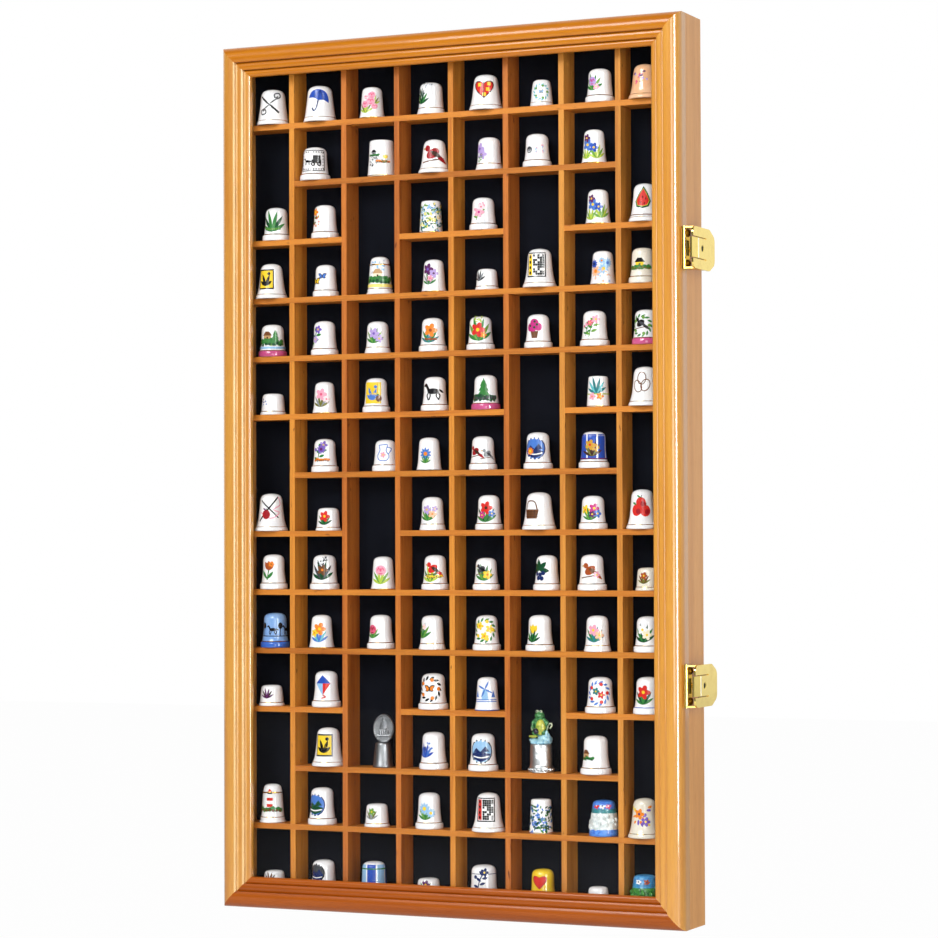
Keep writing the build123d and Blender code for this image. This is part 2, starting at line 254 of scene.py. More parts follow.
@dataclass(frozen=True)
class LacqueredWood:
    """Straight-grained hardwood, stained honey and lacquered to a satin shine."""

    pale: Colour
    dark: Colour
    run: Run
    seed: float
    roughness: float = 0.34
    figure: float = 0.5  # how far the broad bands go towards the dark colour
    streaks: float = 0.35
    painted_step_lines: tuple[tuple[float, float, float], ...] = ()  # (distance from the door's edge, half width, strength) of lines of painted light along the door's steps
    painted_step_colour: Colour = paint(126, 58, 14)  # the colour of those lines; this dark default is painted shade under the steps
    flecks: float = 0.0  # strength of the short dark marks
    coat: float = 0.9  # share of the clear lacquer over it

    def material(self, name: str) -> Material:
        """The finish on a board whose grain runs one way.

        Args:
            name: The material's name.

        Returns:
            The material.
        """
        bench = Bench(name)
        x, y, z = bench.place()
        along, across = (x, z) if self.run is Run.ALONG_X else (z, x)
        drift = bench.noise(along * 0.006 + self.seed, across * 0.02, y * 0.02)
        sway = across + drift * 14.0
        band = bench.noise(along * 0.004 + self.seed, sway * 0.11, y * 0.11, detail=3.0)
        streak = bench.noise(along * 0.02, sway * 0.9 + self.seed, y * 0.9, detail=4.0, rough=0.6)
        fibre = bench.noise(along * 0.09, across * 3.4 + self.seed, y * 3.4, detail=3.0)
        shade = (band.rising(0.34, 0.70) * self.figure + (streak - 0.5) * self.streaks * 2).held()
        colour = bench.mixed(shade, self.pale, self.dark)
        pores = fibre.rising(0.56, 0.72) * 0.30
        colour = bench.mixed(pores, colour, self.dark, "MULTIPLY")
        if self.flecks:
            knots = bench.noise(along * 0.11 + self.seed, across * 0.35, y * 0.35, detail=1.0)
            colour = bench.mixed(knots.rising(0.72, 0.80) * self.flecks, colour, paint(95, 42, 16))
        # Painted light along the door's steps: dark lines are painted shade, pale lines are painted highlights.
        if self.painted_step_lines:
            colour = bench.mixed(self.painted_light(bench, x, z), colour, self.painted_step_colour)
        grain = fibre * 0.6 + streak * 0.4
        return bench.done(bench.principled(
            Base_Color=colour,
            Roughness=(streak - 0.5) * 0.10 + pores * 0.4 + self.roughness,
            Normal=bench.bump(grain, 0.05, 0.35),
            Coat_Weight=self.coat, Coat_Roughness=0.06, Coat_IOR=1.65, IOR=1.35,
        ))

    def painted_light(self, bench: Bench, x: Value, z: Value) -> Value:
        """How much painted light shows along the steps that run round the door: painted shade under the steps, or
        a painted highlight where the lines' colour is pale.

        Args:
            bench: The material being laid out.
            x: Where the point is across the door, in millimetres.
            z: How high it is.

        Returns:
            The lines' strength, broken here and there by noise.
        """
        middle = (DoorLooks.top + DoorLooks.bottom) / 2
        half_height = (DoorLooks.top - DoorLooks.bottom) / 2
        inward = (DoorLooks.half_width - abs(x)).least(half_height - abs(z - middle))
        unevenness = bench.noise(x * 0.03, z * 0.03, 0.0, detail=2.0) * 0.5 + 0.6
        total: Value | float = 0.0
        for distance, half, depth in self.painted_step_lines:
            line = abs(inward - distance).falling(half * 0.4, half) * depth
            total = line + total
        return total * unevenness


@dataclass(frozen=True)
class Felt:
    """Short-napped black felt with a blue cast."""

    colour: Colour = paint(17, 19, 27)

    def material(self, name: str) -> Material:
        """The felt with its fibres and the way that the nap lies."""
        bench = Bench(name)
        x, y, z = bench.place()
        nap = bench.noise(x * 0.05, y * 0.05, z * 0.05, detail=3.0)
        fibres = bench.noise(x * 2.3, y * 2.3, z * 2.3, detail=4.0, rough=0.7)
        colour = bench.mixed(nap.rising(0.3, 0.7) * 0.5, self.colour, lighter(self.colour, 0.62))
        colour = bench.mixed(fibres.rising(0.62, 0.78) * 0.35, colour, lighter(self.colour, 2.2))
        return bench.done(bench.principled(
            Base_Color=colour, Roughness=0.95, Normal=bench.bump(fibres, 0.25, 0.5),
            Specular_IOR_Level=0.05,
        ))


@dataclass(frozen=True)
class Board:
    """Thin hardboard of the back, brown and faintly mottled with pressed fibres."""

    colour: Colour = paint(128, 88, 54)

    def material(self, name: str) -> Material:
        """The board's rough and mottled face."""
        bench = Bench(name)
        x, y, z = bench.place()
        mottle = bench.noise(x * 0.06, y * 0.06, z * 0.06, detail=3.0)
        chips = bench.noise(x * 1.1, y * 1.1, z * 0.8, detail=4.0, rough=0.65)
        colour = bench.mixed(mottle, lighter(self.colour, 0.86), lighter(self.colour, 1.16))
        colour = bench.mixed(chips.rising(0.55, 0.75) * 0.45, colour, lighter(self.colour, 0.55))
        return bench.done(bench.principled(
            Base_Color=colour, Roughness=chips * 0.2 + 0.6, Normal=bench.bump(chips, 0.12, 0.5),
        ))


@dataclass(frozen=True)
class Metal:
    """A bare or plated metal with fine rub marks and a little tarnish."""

    colour: Colour
    tarnish: Colour
    roughness: float
    wear: float = 0.35  # share of tarnish in its patches
    rub: float = 0.05
    dents: float = 0.0  # hammered facets, depth in millimetres

    def material(self, name: str) -> Material:
        """The metal's surface."""
        bench = Bench(name)
        x, y, z = bench.place()
        patch = bench.noise(x * 0.13, y * 0.13, z * 0.13, detail=4.0, rough=0.6)
        marks = bench.noise(x * 2.2, y * 2.2, z * 0.5, detail=3.0)
        colour = bench.mixed(patch.rising(0.42, 0.75) * self.wear, self.colour, self.tarnish)
        height = marks * 0.02
        if self.dents:
            cells = bench.node("ShaderNodeTexVoronoi", {"feature": "SMOOTH_F1"},
                               {"Vector": bench.joined(x, y, z), "Scale": 0.42, "Smoothness": 0.35})
            height = height + Value(bench, cells.outputs[0]) * self.dents
        return bench.done(bench.principled(
            Base_Color=colour, Metallic=1.0,
            Roughness=marks * self.rub + patch * 0.08 + self.roughness,
            Normal=bench.bump(height, 1.0, 0.6 if self.dents else 0.25),
        ))


@dataclass(frozen=True)
class ClearGlass:
    """Thin picture glass: what is behind it shows, with a weak reflection over it."""

    bend: float = 1.16

    def material(self, name: str) -> Material:
        """The pane's material."""
        bench = Bench(name)
        through = bench.node("ShaderNodeBsdfTransparent", None, {"Color": (0.985, 0.99, 0.985)}).outputs[0]
        shine = bench.node("ShaderNodeBsdfGlossy", None, {"Color": (1.0, 1.0, 1.0), "Roughness": 0.02}).outputs[0]
        share = bench.node("ShaderNodeFresnel", None, {"IOR": self.bend}).outputs[0]
        return bench.done(bench.node("ShaderNodeMixShader", None, {0: share, 1: through, 2: shine}).outputs[0])


@dataclass(frozen=True)
class Glaze:
    """Glossy glazed porcelain, faintly uneven, with fine dimples over the crown of a thimble."""

    colour: Colour
    shade: Colour
    dimples: bool = True

    def material(self, name: str) -> Material:
        """The glazed surface; the mesh's UV is (length round the thimble, length up its profile) in mm."""
        bench = Bench(name)
        x, y, z = bench.place()
        pool = bench.noise(x * 0.09, y * 0.09, z * 0.09, detail=2.0)
        speck = bench.noise(x * 0.8, y * 0.8, z * 0.8, detail=2.0)
        colour = bench.mixed(pool.rising(0.35, 0.7), self.colour, self.shade)
        height = pool * 0.3 + speck * 0.02
        if self.dimples:
            uv = bench.node("ShaderNodeUVMap", {"uv_map": "turned"}).outputs[0]
            around, up, _ = (Value(bench, part) for part in
                             bench.node("ShaderNodeSeparateXYZ", None, {0: uv}).outputs)
            pits = bench.node("ShaderNodeTexVoronoi", {"feature": "F1"},
                              {"Vector": bench.joined(around, up, 0.0), "Scale": 0.85, "Randomness": 0.12})
            pit = Value(bench, pits.outputs[0]).falling(0.12, 0.42) * up.rising(-9.0, -6.5)
            height = height - pit * 0.12
        return bench.done(bench.principled(
            Base_Color=colour, Roughness=speck * 0.06 + 0.09, Normal=bench.bump(height, 0.5, 0.5),
            Coat_Weight=0.4, Coat_Roughness=0.04, IOR=1.5,
        ))


@dataclass(frozen=True)
class Pigment:
    """A transfer colour fired under the glaze."""

    colour: Colour

    def material(self, name: str) -> Material:
        """The colour under its gloss."""
        bench = Bench(name)
        return bench.done(bench.principled(Base_Color=self.colour, Roughness=0.22, IOR=1.45))


class Tint(Enum):
    """The colours of the transfers on the thimbles."""

    BLACK = (26, 26, 30)
    CHARCOAL = (68, 70, 76)
    GREY = (142, 146, 152)
    MIST = (196, 203, 214)
    IVORY = (243, 232, 205)
    WHITE = (246, 246, 248)
    NAVY = (28, 44, 98)
    ROYAL = (40, 80, 182)
    BLUE = (74, 122, 206)
    SKY = (150, 194, 234)
    TEAL = (42, 122, 128)
    AQUA = (104, 190, 200)
    PINE = (24, 76, 46)
    GREEN = (56, 128, 62)
    LEAF = (110, 160, 66)
    LIME = (178, 202, 74)
    OLIVE = (112, 112, 52)
    YELLOW = (244, 208, 52)
    LEMON = (248, 230, 128)
    GOLD = (206, 156, 52)
    ORANGE = (238, 134, 42)
    PEACH = (246, 190, 152)
    SCARLET = (214, 46, 40)
    CRIMSON = (160, 26, 36)
    ROSE = (226, 96, 132)
    PINK = (242, 164, 188)
    BLUSH = (250, 214, 222)
    MAGENTA = (196, 52, 132)
    PLUM = (96, 42, 100)
    VIOLET = (122, 92, 186)
    LILAC = (184, 160, 220)
    RUST = (166, 78, 38)
    BROWN = (112, 68, 40)
    UMBER = (66, 42, 30)
    TAN = (198, 158, 110)


class Ware(Enum):
    """What the turned part of a thimble is made of or edged with."""

    WHITE = "porcelain_white"
    CREAM = "porcelain_cream"
    PEACH = "porcelain_peach"
    BLUE = "porcelain_blue"
    YELLOW = "porcelain_yellow"
    GILT = "gilt_band"
    LINE = "dark_band"
    PINK = "pink_band"
    ROYAL = "blue_band"


class Palette:
    """Makes each finish once and hands it out by name."""

    def __init__(self) -> None:
        """Starts with nothing made."""
        self.made: dict[str, Material] = {}

    def get(self, name: str, finish: Finish) -> Material:
        """The material of that name, made from the finish when it is first asked for."""
        if name not in self.made:
            self.made[name] = finish.material(name)
        return self.made[name]

    def tint(self, tint: Tint) -> Material:
        """The material of a transfer colour."""
        return self.get("transfer_" + tint.name.lower(), Pigment(paint(*tint.value)))

    def ware(self, ware: Ware) -> Material:
        """The material of a thimble's body or band."""
        return self.get(ware.value, WARES[ware])


WARES = {
    Ware.WHITE: Glaze(paint(248, 248, 250), paint(242, 243, 248)),
    Ware.CREAM: Glaze(paint(240, 234, 222), paint(230, 222, 206)),
    Ware.PEACH: Glaze(paint(242, 196, 158), paint(236, 182, 140)),
    Ware.BLUE: Glaze(paint(140, 178, 228), paint(118, 160, 222)),
    Ware.YELLOW: Glaze(paint(246, 212, 60), paint(238, 196, 44)),
    Ware.GILT: Metal(paint(232, 190, 96), paint(176, 130, 58), 0.2),
    Ware.LINE: Glaze(paint(70, 58, 50), paint(52, 44, 40), dimples=False),
    Ware.PINK: Glaze(paint(206, 92, 142), paint(190, 76, 128), dimples=False),
    Ware.ROYAL: Glaze(paint(70, 118, 208), paint(54, 98, 190), dimples=False),
}
BRASS = Metal(paint(248, 222, 122), paint(216, 174, 78), 0.13, wear=0.25)
# Dark brass: the latch screws' own browned heads, and painted shade behind the levers' slits.
BROWNED_BRASS_AND_SHADE = Metal(paint(150, 112, 34), paint(88, 60, 16), 0.3, wear=0.5)
# A pale brass for a painted highlight along a lever's crease.
PAINTED_HIGHLIGHT_BRASS = Metal(paint(255, 250, 226), paint(250, 238, 196), 0.45, wear=0.2)
# Near-black metal for painted shade: the sheets in the latch windows and the lenses in the levers' dimples.
PAINTED_SHADE_METAL = Metal(paint(62, 62, 46), paint(40, 38, 30), 0.35, wear=0.4)
STEEL = Metal(paint(196, 198, 200), paint(150, 150, 150), 0.28)
PEWTER = Metal(paint(150, 152, 156), paint(84, 86, 92), 0.34, wear=0.7)
SILVER = Metal(paint(214, 217, 220), paint(150, 154, 160), 0.34, wear=0.5, dents=0.3)


# ---------------------------------------------------------------- mesh building
class Shape:
    """Points and faces being gathered for one piece, in millimetres."""

    def __init__(self) -> None:
        """Starts with no points."""
        self.points: list[Vector] = []
        self.faces: list[tuple[int, ...]] = []
        self.slots: list[int] = []
        self.smooth: list[bool] = []
        self.uvs: list[Point] = []
        self.materials: list[Material] = []

    def slot(self, material: Material) -> int:
        """The number of a material on this piece."""
        if material not in self.materials:
            self.materials.append(material)
        return self.materials.index(material)

    def grid(self, rows: Sequence[Sequence[Vector]], material: Material, closed: bool = False,
             smooth: bool = True, uvs: Sequence[Sequence[Point]] | None = None) -> None:
        """Adds a surface through rows of points.

        Args:
            rows: The points, row by row, each row as long as the others or a single point.
            material: The finish on it.
            closed: Whether each row's end joins its start.
            smooth: Whether it is shaded smooth.
            uvs: A UV for each point.
        """
        slot = self.slot(material)
        starts = []
        for number, row in enumerate(rows):
            starts.append(len(self.points))
            self.points.extend(row)
            self.uvs.extend(uvs[number] if uvs else [(0.0, 0.0)] * len(row))
        for number in range(len(rows) - 1):
            low, high = rows[number], rows[number + 1]
            a, b = starts[number], starts[number + 1]
            count = max(len(low), len(high))
            for i in range(count if closed else count - 1):
                j = (i + 1) % count
                if len(low) == 1:
                    face = (a, b + j, b + i)
                elif len(high) == 1:
                    face = (a + i, a + j, b)
                else:
                    face = (a + i, a + j, b + j, b + i)
                self.faces.append(face)
                self.slots.append(slot)
                self.smooth.append(smooth)

    def box(self, material: Material, xs: Point, ys: Point, zs: Point) -> None:
        """Adds a box between two values along each axis."""
        around = [(xs[i], ys[j]) for i, j in ((0, 0), (1, 0), (1, 1), (0, 1))]
        middle = (sum(xs) / 2, sum(ys) / 2)
        rows = [[Vector((*middle, zs[0]))], *([Vector((*at, z)) for at in around] for z in zs),
                [Vector((*middle, zs[1]))]]
        self.grid(rows, material, closed=True, smooth=False)

    def turned(self, outline: Sequence[Point], materials: Sequence[Material], at: Vector,
               steps: int = 40, turn: Matrix | None = None, lowered: float = 0.0) -> None:
        """Adds a turned body.

        Args:
            outline: (radius, height) points from the axis to the axis, or round a ring.
            materials: The finish of each stretch between two points.
            at: The point on the axis from which the heights are measured.
            steps: How many faces go round it.
            turn: The rotation that takes +Z to the body's axis.
            lowered: What is taken from the heights in the UV map.
        """
        turn = turn or Matrix.Identity(3)
        arcs = [2 * pi * i / steps for i in range(steps)]
        rows, uvs = [], []
        for radius, height in outline:
            if radius < 1e-6:
                rows.append([at + turn @ Vector((0, 0, height))])
                uvs.append([(0.0, height - lowered)])
            else:
                rows.append([at + turn @ Vector((-radius * sin(arc), radius * cos(arc), height))
                             for arc in arcs])
                uvs.append([(radius * arc, height - lowered) for arc in arcs])
        for i, material in enumerate(materials):
            self.grid(rows[i:i + 2], material, closed=True, uvs=uvs[i:i + 2])

    def piece(self, name: str, body: str) -> bpy.types.Object:
        """Makes the mesh and hangs it on a body.

        Args:
            name: The piece's name.
            body: The CAD body it moves with.

        Returns:
            The new object.
        """
        mesh = bpy.data.meshes.new(name)
        mesh.from_pydata([point * MM for point in self.points], [], self.faces)
        for material in self.materials:
            mesh.materials.append(material)
        mesh.polygons.foreach_set("material_index", self.slots)
        mesh.polygons.foreach_set("use_smooth", self.smooth)
        layer = mesh.uv_layers.new(name="turned")
        for loop in mesh.loops:
            layer.data[loop.index].uv = self.uvs[loop.vertex_index]
        mesh.validate()
        self.weld(mesh)
        thing = bpy.data.objects.new(name, mesh)
        bpy.context.scene.collection.objects.link(thing)
        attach(thing, body)
        log.info("%s, on %s: %d faces", name, body, len(mesh.polygons))
        return thing

    def weld(self, mesh: bpy.types.Mesh) -> None:
        """Joins the points that lie on each other and turns the faces outward."""
        working = bmesh.new()
        working.from_mesh(mesh)
        bmesh.ops.remove_doubles(working, verts=working.verts, dist=0.002 * MM)
        bmesh.ops.recalc_face_normals(working, faces=working.faces)
        working.to_mesh(mesh)
        working.free()


# ---------------------------------------------------------------- transfers on the thimbles
# Each transfer is laid by the method of Transfer that has its name in small letters.
Motif = Enum("Motif", (
    "BLOSSOM DAISY ROSE TULIP SPRIG LEAVES BIRD BUTTERFLY PINE BUSHES COTTAGE PANEL UMBRELLA "
    "HEART NEEDLES CART PONY FRUIT POTTED JUG ROUNDEL BASKET BERRIES KITE WREATH WINDMILL "
    "LIGHTHOUSE EGGS FRET PARADE FOLIAGE SPLASH STRIPES THREAD MELON PATCHWORK RING"
))


@dataclass(frozen=True)
class Mark:
    """One transfer: what it is, where it is laid and its colours."""

    motif: Motif
    u: float  # to the right, round the wall
    v: float  # above the thimble's base
    size: float
    tints: tuple[Tint, ...]

    @classmethod
    def read(cls, entry: str) -> Mark:
        """The mark that a part of a catalogue entry names."""
        motif, u, v, size, *tints = entry.split()
        return cls(Motif[motif.upper()], float(u), float(v), float(size),
                   tuple(Tint[tint.upper()] for tint in tints))

    @classmethod
    def several(cls, entries: str) -> tuple[Mark, ...]:
        """The marks that entries name, with semicolons between them."""
        return tuple(cls.read(entry) for entry in entries.split(";"))


class Transfer:
    """Prints laid on one thimble's wall; u runs round it to the right and v up it."""

    lift = 0.05
    layer_lift = 0.018
    scale = 1.3
    aside = -1.7  # every print's shift round to the left
    rise = 1.2
    reach = 0.8  # the longest step between two points of a print

    def __init__(self, shape: Shape, palette: Palette, wall: Callable[[float], float], at: Vector,
                 facing: float, seed: int) -> None:
        """Keeps what every print on this thimble shares.

        Args:
            shape: The mesh that takes the prints.
            palette: Where the colours come from.
            wall: The thimble's radius at a height above its base.
            at: The middle of the thimble's base.
            facing: How far the prints' middle is turned from the front, in radians.
            seed: What the scattered prints are drawn from.
        """
        self.shape = shape
        self.palette = palette
        self.wall = wall
        self.at = at
        self.facing = facing
        self.chance = random.Random(seed)
        self.layer = 0
        self.tint: Tint | None = None
        self.u, self.v, self.size = 0.0, 0.0, 1.0  # the middle and the size of the motif being laid

    def lay(self, mark: Mark) -> None:
        """Lays one mark with the method its motif names; a motif's own points are shares of its size."""
        self.u, self.v, self.size = mark.u + self.aside, mark.v + self.rise, mark.size * self.scale
        getattr(self, mark.motif.name.lower())(*mark.tints)

    def within(self, u: float, v: float, size: float, motif: Callable[..., None], *tints: Tint) -> None:
        """Lays another motif about a point of this one, at a share of its size."""
        kept = self.u, self.v, self.size
        (self.u, self.v), self.size = self.spot((u, v)), self.size * size
        motif(*tints)
        self.u, self.v, self.size = kept

    def spot(self, point: Point) -> Point:
        """Where a point of the motif comes on the wall, in millimetres."""
        return (self.u + point[0] * self.size, self.v + point[1] * self.size)

    def change(self, tint: Tint) -> Material:
        """Takes up a colour, one layer higher than the last."""
        if tint is not self.tint:
            self.layer += 1
            self.tint = tint
        return self.palette.tint(tint)

    def on_wall(self, u: float, v: float) -> Vector:
        """The point of the wall under a point of the print."""
        radius = self.wall(v)
        angle = self.facing + u / radius
        out = radius + self.lift + self.layer * self.layer_lift
        return self.at + Vector((out * sin(angle), -out * cos(angle), v))

    def sheet(self, tint: Tint, rows: Iterable[Iterable[Point]], closed: bool = False) -> None:
        """Adds rows of print points as one patch."""
        material = self.change(tint)
        self.shape.grid([[self.on_wall(u, v) for u, v in row] for row in rows], material, closed)

    def dot(self, tint: Tint, u: float, v: float, wide: float, tall: float | None = None,
            turn: float = 0.0) -> None:
        """An ellipse of two half-widths, turned clockwise in degrees."""
        (u, v), wide, tall = self.spot((u, v)), wide * self.size, (wide if tall is None else tall) * self.size
        rings = max(1, ceil(max(wide, tall) / self.reach))
        steps = 10 if max(wide, tall) < 1.2 else 16
        c, s = cos(radians(turn)), sin(radians(turn))
        rows = [[(u, v)]]
        for ring in range(1, rings + 1):
            share = ring / rings
            row = []
            for step in range(steps):
                angle = -2 * pi * step / steps
                a, b = wide * share * cos(angle), tall * share * sin(angle)
                row.append((u + a * c + b * s, v - a * s + b * c))
            rows.append(row)
        self.sheet(tint, rows, closed=True)

    def leaf(self, tint: Tint, u: float, v: float, length: float, width: float, turn: float) -> None:
        """A pointed leaf from its stalk at (u, v), turned clockwise from upright in degrees."""
        (u, v), length, width = self.spot((u, v)), length * self.size, width * self.size
        steps = max(4, ceil(length / self.reach))
        s, c = sin(radians(turn)), cos(radians(turn))
        rows = []
        for step in range(steps + 1):
            share = step / steps
            half = width / 2 * sin(pi * min(max(share, 0.02), 0.98)) ** 0.8
            mid = (u + share * length * s, v + share * length * c)
            rows.append([(mid[0] - c * half, mid[1] + s * half), mid, (mid[0] + c * half, mid[1] - s * half)])
        self.sheet(tint, rows)

    def line(self, tint: Tint, points: Sequence[Point], width: float, soft: bool = False) -> None:
        """A stroke through points, rounded between them if soft."""
        points, width = [self.spot(point) for point in points], width * self.size
        if soft:
            points = self.rounded(points)
        path = [points[0]]
        for start, stop in zip(points, points[1:]):
            steps = max(1, ceil(dist(start, stop) / self.reach))
            path += [(start[0] + (stop[0] - start[0]) * k / steps, start[1] + (stop[1] - start[1]) * k / steps)
                     for k in range(1, steps + 1)]
        rows = []
        for number, (u, v) in enumerate(path):
            before, after = path[max(0, number - 1)], path[min(len(path) - 1, number + 1)]
            run = dist(before, after) or 1.0
            s, c = (after[0] - before[0]) / run, (after[1] - before[1]) / run
            half = width / 2
            rows.append([(u - c * half, v + s * half), (u + c * half, v - s * half)])
        self.sheet(tint, rows)

    def rounded(self, points: Sequence[Point]) -> list[Point]:
        """A smooth path through the points."""
        ends = [points[0], *points, points[-1]]
        path = [points[0]]
        for a, b, c, d in zip(ends, ends[1:], ends[2:], ends[3:]):
            for k in range(1, 5):
                t = k / 4
                path.append(tuple(
                    0.5 * (2 * q + (r - p) * t + (2 * p - 5 * q + 4 * r - s) * t * t
                           + (3 * q - p - 3 * r + s) * t ** 3)
                    for p, q, r, s in zip(a, b, c, d)
                ))
        return path

    def block(self, tint: Tint, u0: float, v0: float, u1: float, v1: float) -> None:
        """An upright rectangle between two corners."""
        (u0, v0), (u1, v1) = self.spot((u0, v0)), self.spot((u1, v1))
        across = max(1, ceil((u1 - u0) / self.reach))
        rows = max(1, ceil((v1 - v0) / 1.5))
        self.sheet(tint, [[(u0 + (u1 - u0) * i / across, v0 + (v1 - v0) * k / rows) for i in range(across + 1)]
                          for k in range(rows + 1)])

    def brick(self, tint: Tint, u: float, v: float, wide: float, tall: float) -> None:
        """An upright rectangle about its middle."""
        self.block(tint, u - wide / 2, v - tall / 2, u + wide / 2, v + tall / 2)

    def fan(self, tint: Tint, points: Sequence[Point]) -> None:
        """A shape whose corners all show from its middle, given clockwise."""
        points = [self.spot(point) for point in points]
        middle = tuple(sum(part) / len(points) for part in zip(*points))
        edge: list[Point] = []
        for start, stop in zip(points, [*points[1:], points[0]]):
            steps = max(1, ceil(dist(start, stop) / self.reach))
            edge += [tuple(p + (q - p) * k / steps for p, q in zip(start, stop)) for k in range(steps)]
        reach = max(dist(middle, point) for point in edge)
        rings = max(1, ceil(reach / self.reach))
        rows = [[middle]] + [[tuple(m + (p - m) * ring / rings for m, p in zip(middle, point)) for point in edge]
                             for ring in range(1, rings + 1)]
        self.sheet(tint, rows, closed=True)

    # -- flowers
    def blossom(self, petal: Tint, heart: Tint, petals: int = 5) -> None:
        """Round petals about a small heart."""
        for k in range(petals):
            turn = 360 * k / petals + 20
            a = radians(turn)
            self.dot(petal, 0.27 * sin(a), 0.27 * cos(a), 0.17, 0.24, turn)
        self.dot(heart, 0, 0, 0.12)

    def daisy(self, petal: Tint, heart: Tint) -> None:
        """Narrow petals about a round heart."""
        for k in range(10):
            self.leaf(petal, 0, 0, 0.5, 0.2, 36 * k)
        self.dot(heart, 0, 0, 0.16)

    def rose(self, petal: Tint, fold: Tint) -> None:
        """A full rose with its folds."""
        self.dot(petal, 0, 0, 0.46, 0.42)
        for turn, out in ((-60, 0.24), (60, 0.24), (180, 0.26), (0, 0.12)):
            a = radians(turn)
            self.leaf(fold, out * sin(a) - 0.2 * cos(a), out * cos(a) + 0.2 * sin(a), 0.4, 0.1, turn + 90)
        self.dot(fold, 0, 0, 0.09)

    def tulip(self, petal: Tint, stalk: Tint) -> None:
        """A cup of three petals on a stalk with two leaves."""
        self.line(stalk, [(-0.1, -0.55), (0, 0)], 0.06)
        self.leaf(stalk, -0.1, -0.5, 0.55, 0.16, -38)
        self.leaf(stalk, -0.1, -0.5, 0.5, 0.16, 42)
        for turn in (-28, 28, 0):
            self.leaf(petal, 0, -0.05, 0.48, 0.26, turn)

    def sprig(self, leaf: Tint, flower: Tint) -> None:
        """A leaning stem with paired leaves and a flower at its tip."""
        foot, tip = (-0.2, -0.5), (0.14, 0.34)
        self.line(leaf, [foot, (-0.08, 0), tip], 0.05, soft=True)
        for share, turn in ((0.15, -70), (0.3, 70), (0.5, -55), (0.65, 80), (0.82, -40)):
            u, v = (a + (b - a) * share for a, b in zip(foot, tip))
            self.leaf(leaf, u, v, 0.3, 0.13, turn)
        self.within(tip[0], tip[1], 0.42, self.blossom, flower, Tint.YELLOW)
        self.dot(flower, foot[0] - 0.12, 0.12, 0.09)

    def leaves(self, first: Tint, second: Tint) -> None:
        """A fan of long leaves."""
        for turn, tint, reach in ((-62, first, 0.7), (58, first, 0.72), (-34, second, 0.9), (34, second, 0.86),
                                  (-12, first, 1.0), (14, first, 0.94)):
            self.leaf(tint, 0, -0.45, reach, 0.16, turn)

    def wreath(self, leaf: Tint, flower: Tint) -> None:
        """Leaves round a ring with a few flowers."""
        for k in range(14):
            a = 2 * pi * k / 14
            self.leaf(leaf, 0.4 * sin(a), 0.4 * cos(a), 0.24, 0.1, degrees(a) + 62)
        for k in range(5):
            a = 2 * pi * k / 5 + 0.3
            self.dot(flower, 0.4 * sin(a), 0.4 * cos(a), 0.08)

    def berries(self, leaf: Tint, berry: Tint) -> None:
        """Leaves with a bunch of berries under them."""
        for turn in (-95, -50, -5, 45, 95):
            self.leaf(leaf, 0, 0.08, 0.52, 0.24, turn)
        for du, dv in ((-0.16, -0.1), (0.05, -0.14), (0.22, -0.06), (-0.06, -0.3), (0.14, -0.32)):
            self.dot(berry, du, dv, 0.11)

    def potted(self, plant: Tint, pot: Tint) -> None:
        """A bushy plant in a pot."""
        self.fan(pot, [(-0.2, -0.16), (0.2, -0.16), (0.13, -0.5), (-0.13, -0.5)])
        for du, dv, r in ((-0.2, 0.02, 0.2), (0.2, 0.04, 0.19), (0, 0.22, 0.22), (-0.05, 0.0, 0.18)):
            self.dot(plant, du, dv, r)
        for du, dv in ((-0.22, 0.1), (0.14, 0.16), (0.02, 0.3), (0.0, 0.02)):
            self.dot(Tint.PINE, du, dv, 0.06)

    def foliage(self, *tints: Tint) -> None:
        """Leaves and berries crowded all round the wall."""
        chance, mm = self.chance.uniform, 1 / self.size
        for tint in tints:
            for _ in range(int(150 / len(tints))):
                self.leaf(tint, chance(-13, 13) * mm, chance(-0.42, 0.36), chance(1.8, 3.4) * mm,
                          chance(0.9, 1.7) * mm, chance(0, 360))

    def splash(self, *tints: Tint) -> None:
        """Loose brush dabs of several colours."""
        for tint in tints:
            for _ in range(max(3, int(16 / len(tints)))):
                self.dot(tint, self.chance.uniform(-0.5, 0.5), self.chance.uniform(-0.4, 0.4),
                         self.chance.uniform(0.05, 0.12), self.chance.uniform(0.03, 0.08),
                         self.chance.uniform(0, 180))

    # -- animals and things
    def bird(self, body: Tint, wing: Tint) -> None:
        """A small bird on a twig."""
        self.line(Tint.BROWN, [(-0.5, -0.36), (0, -0.28), (0.5, -0.2)], 0.05, soft=True)
        self.leaf(body, 0.1, -0.02, 0.66, 0.17, 128)
        self.dot(body, 0, 0, 0.3, 0.19, -32)
        self.dot(body, -0.22, 0.22, 0.13)
        self.leaf(wing, -0.08, 0.1, 0.5, 0.2, 122)
        self.leaf(Tint.GOLD, -0.32, 0.22, 0.13, 0.08, -100)

    def butterfly(self, wing: Tint, edge: Tint) -> None:
        """Four wings and a slim body."""
        for turn in (-55, 55):
            self.leaf(edge, 0, 0, 0.56, 0.36, turn)
            self.leaf(edge, 0, 0, 0.42, 0.28, turn * 2.1)
        for turn in (-55, 55):
            self.leaf(wing, 0.05 * turn / 55, 0, 0.42, 0.24, turn)
            self.leaf(wing, 0.05 * turn / 55, 0, 0.3, 0.17, turn * 2.1)
        self.dot(Tint.UMBER, 0, 0, 0.04, 0.22)

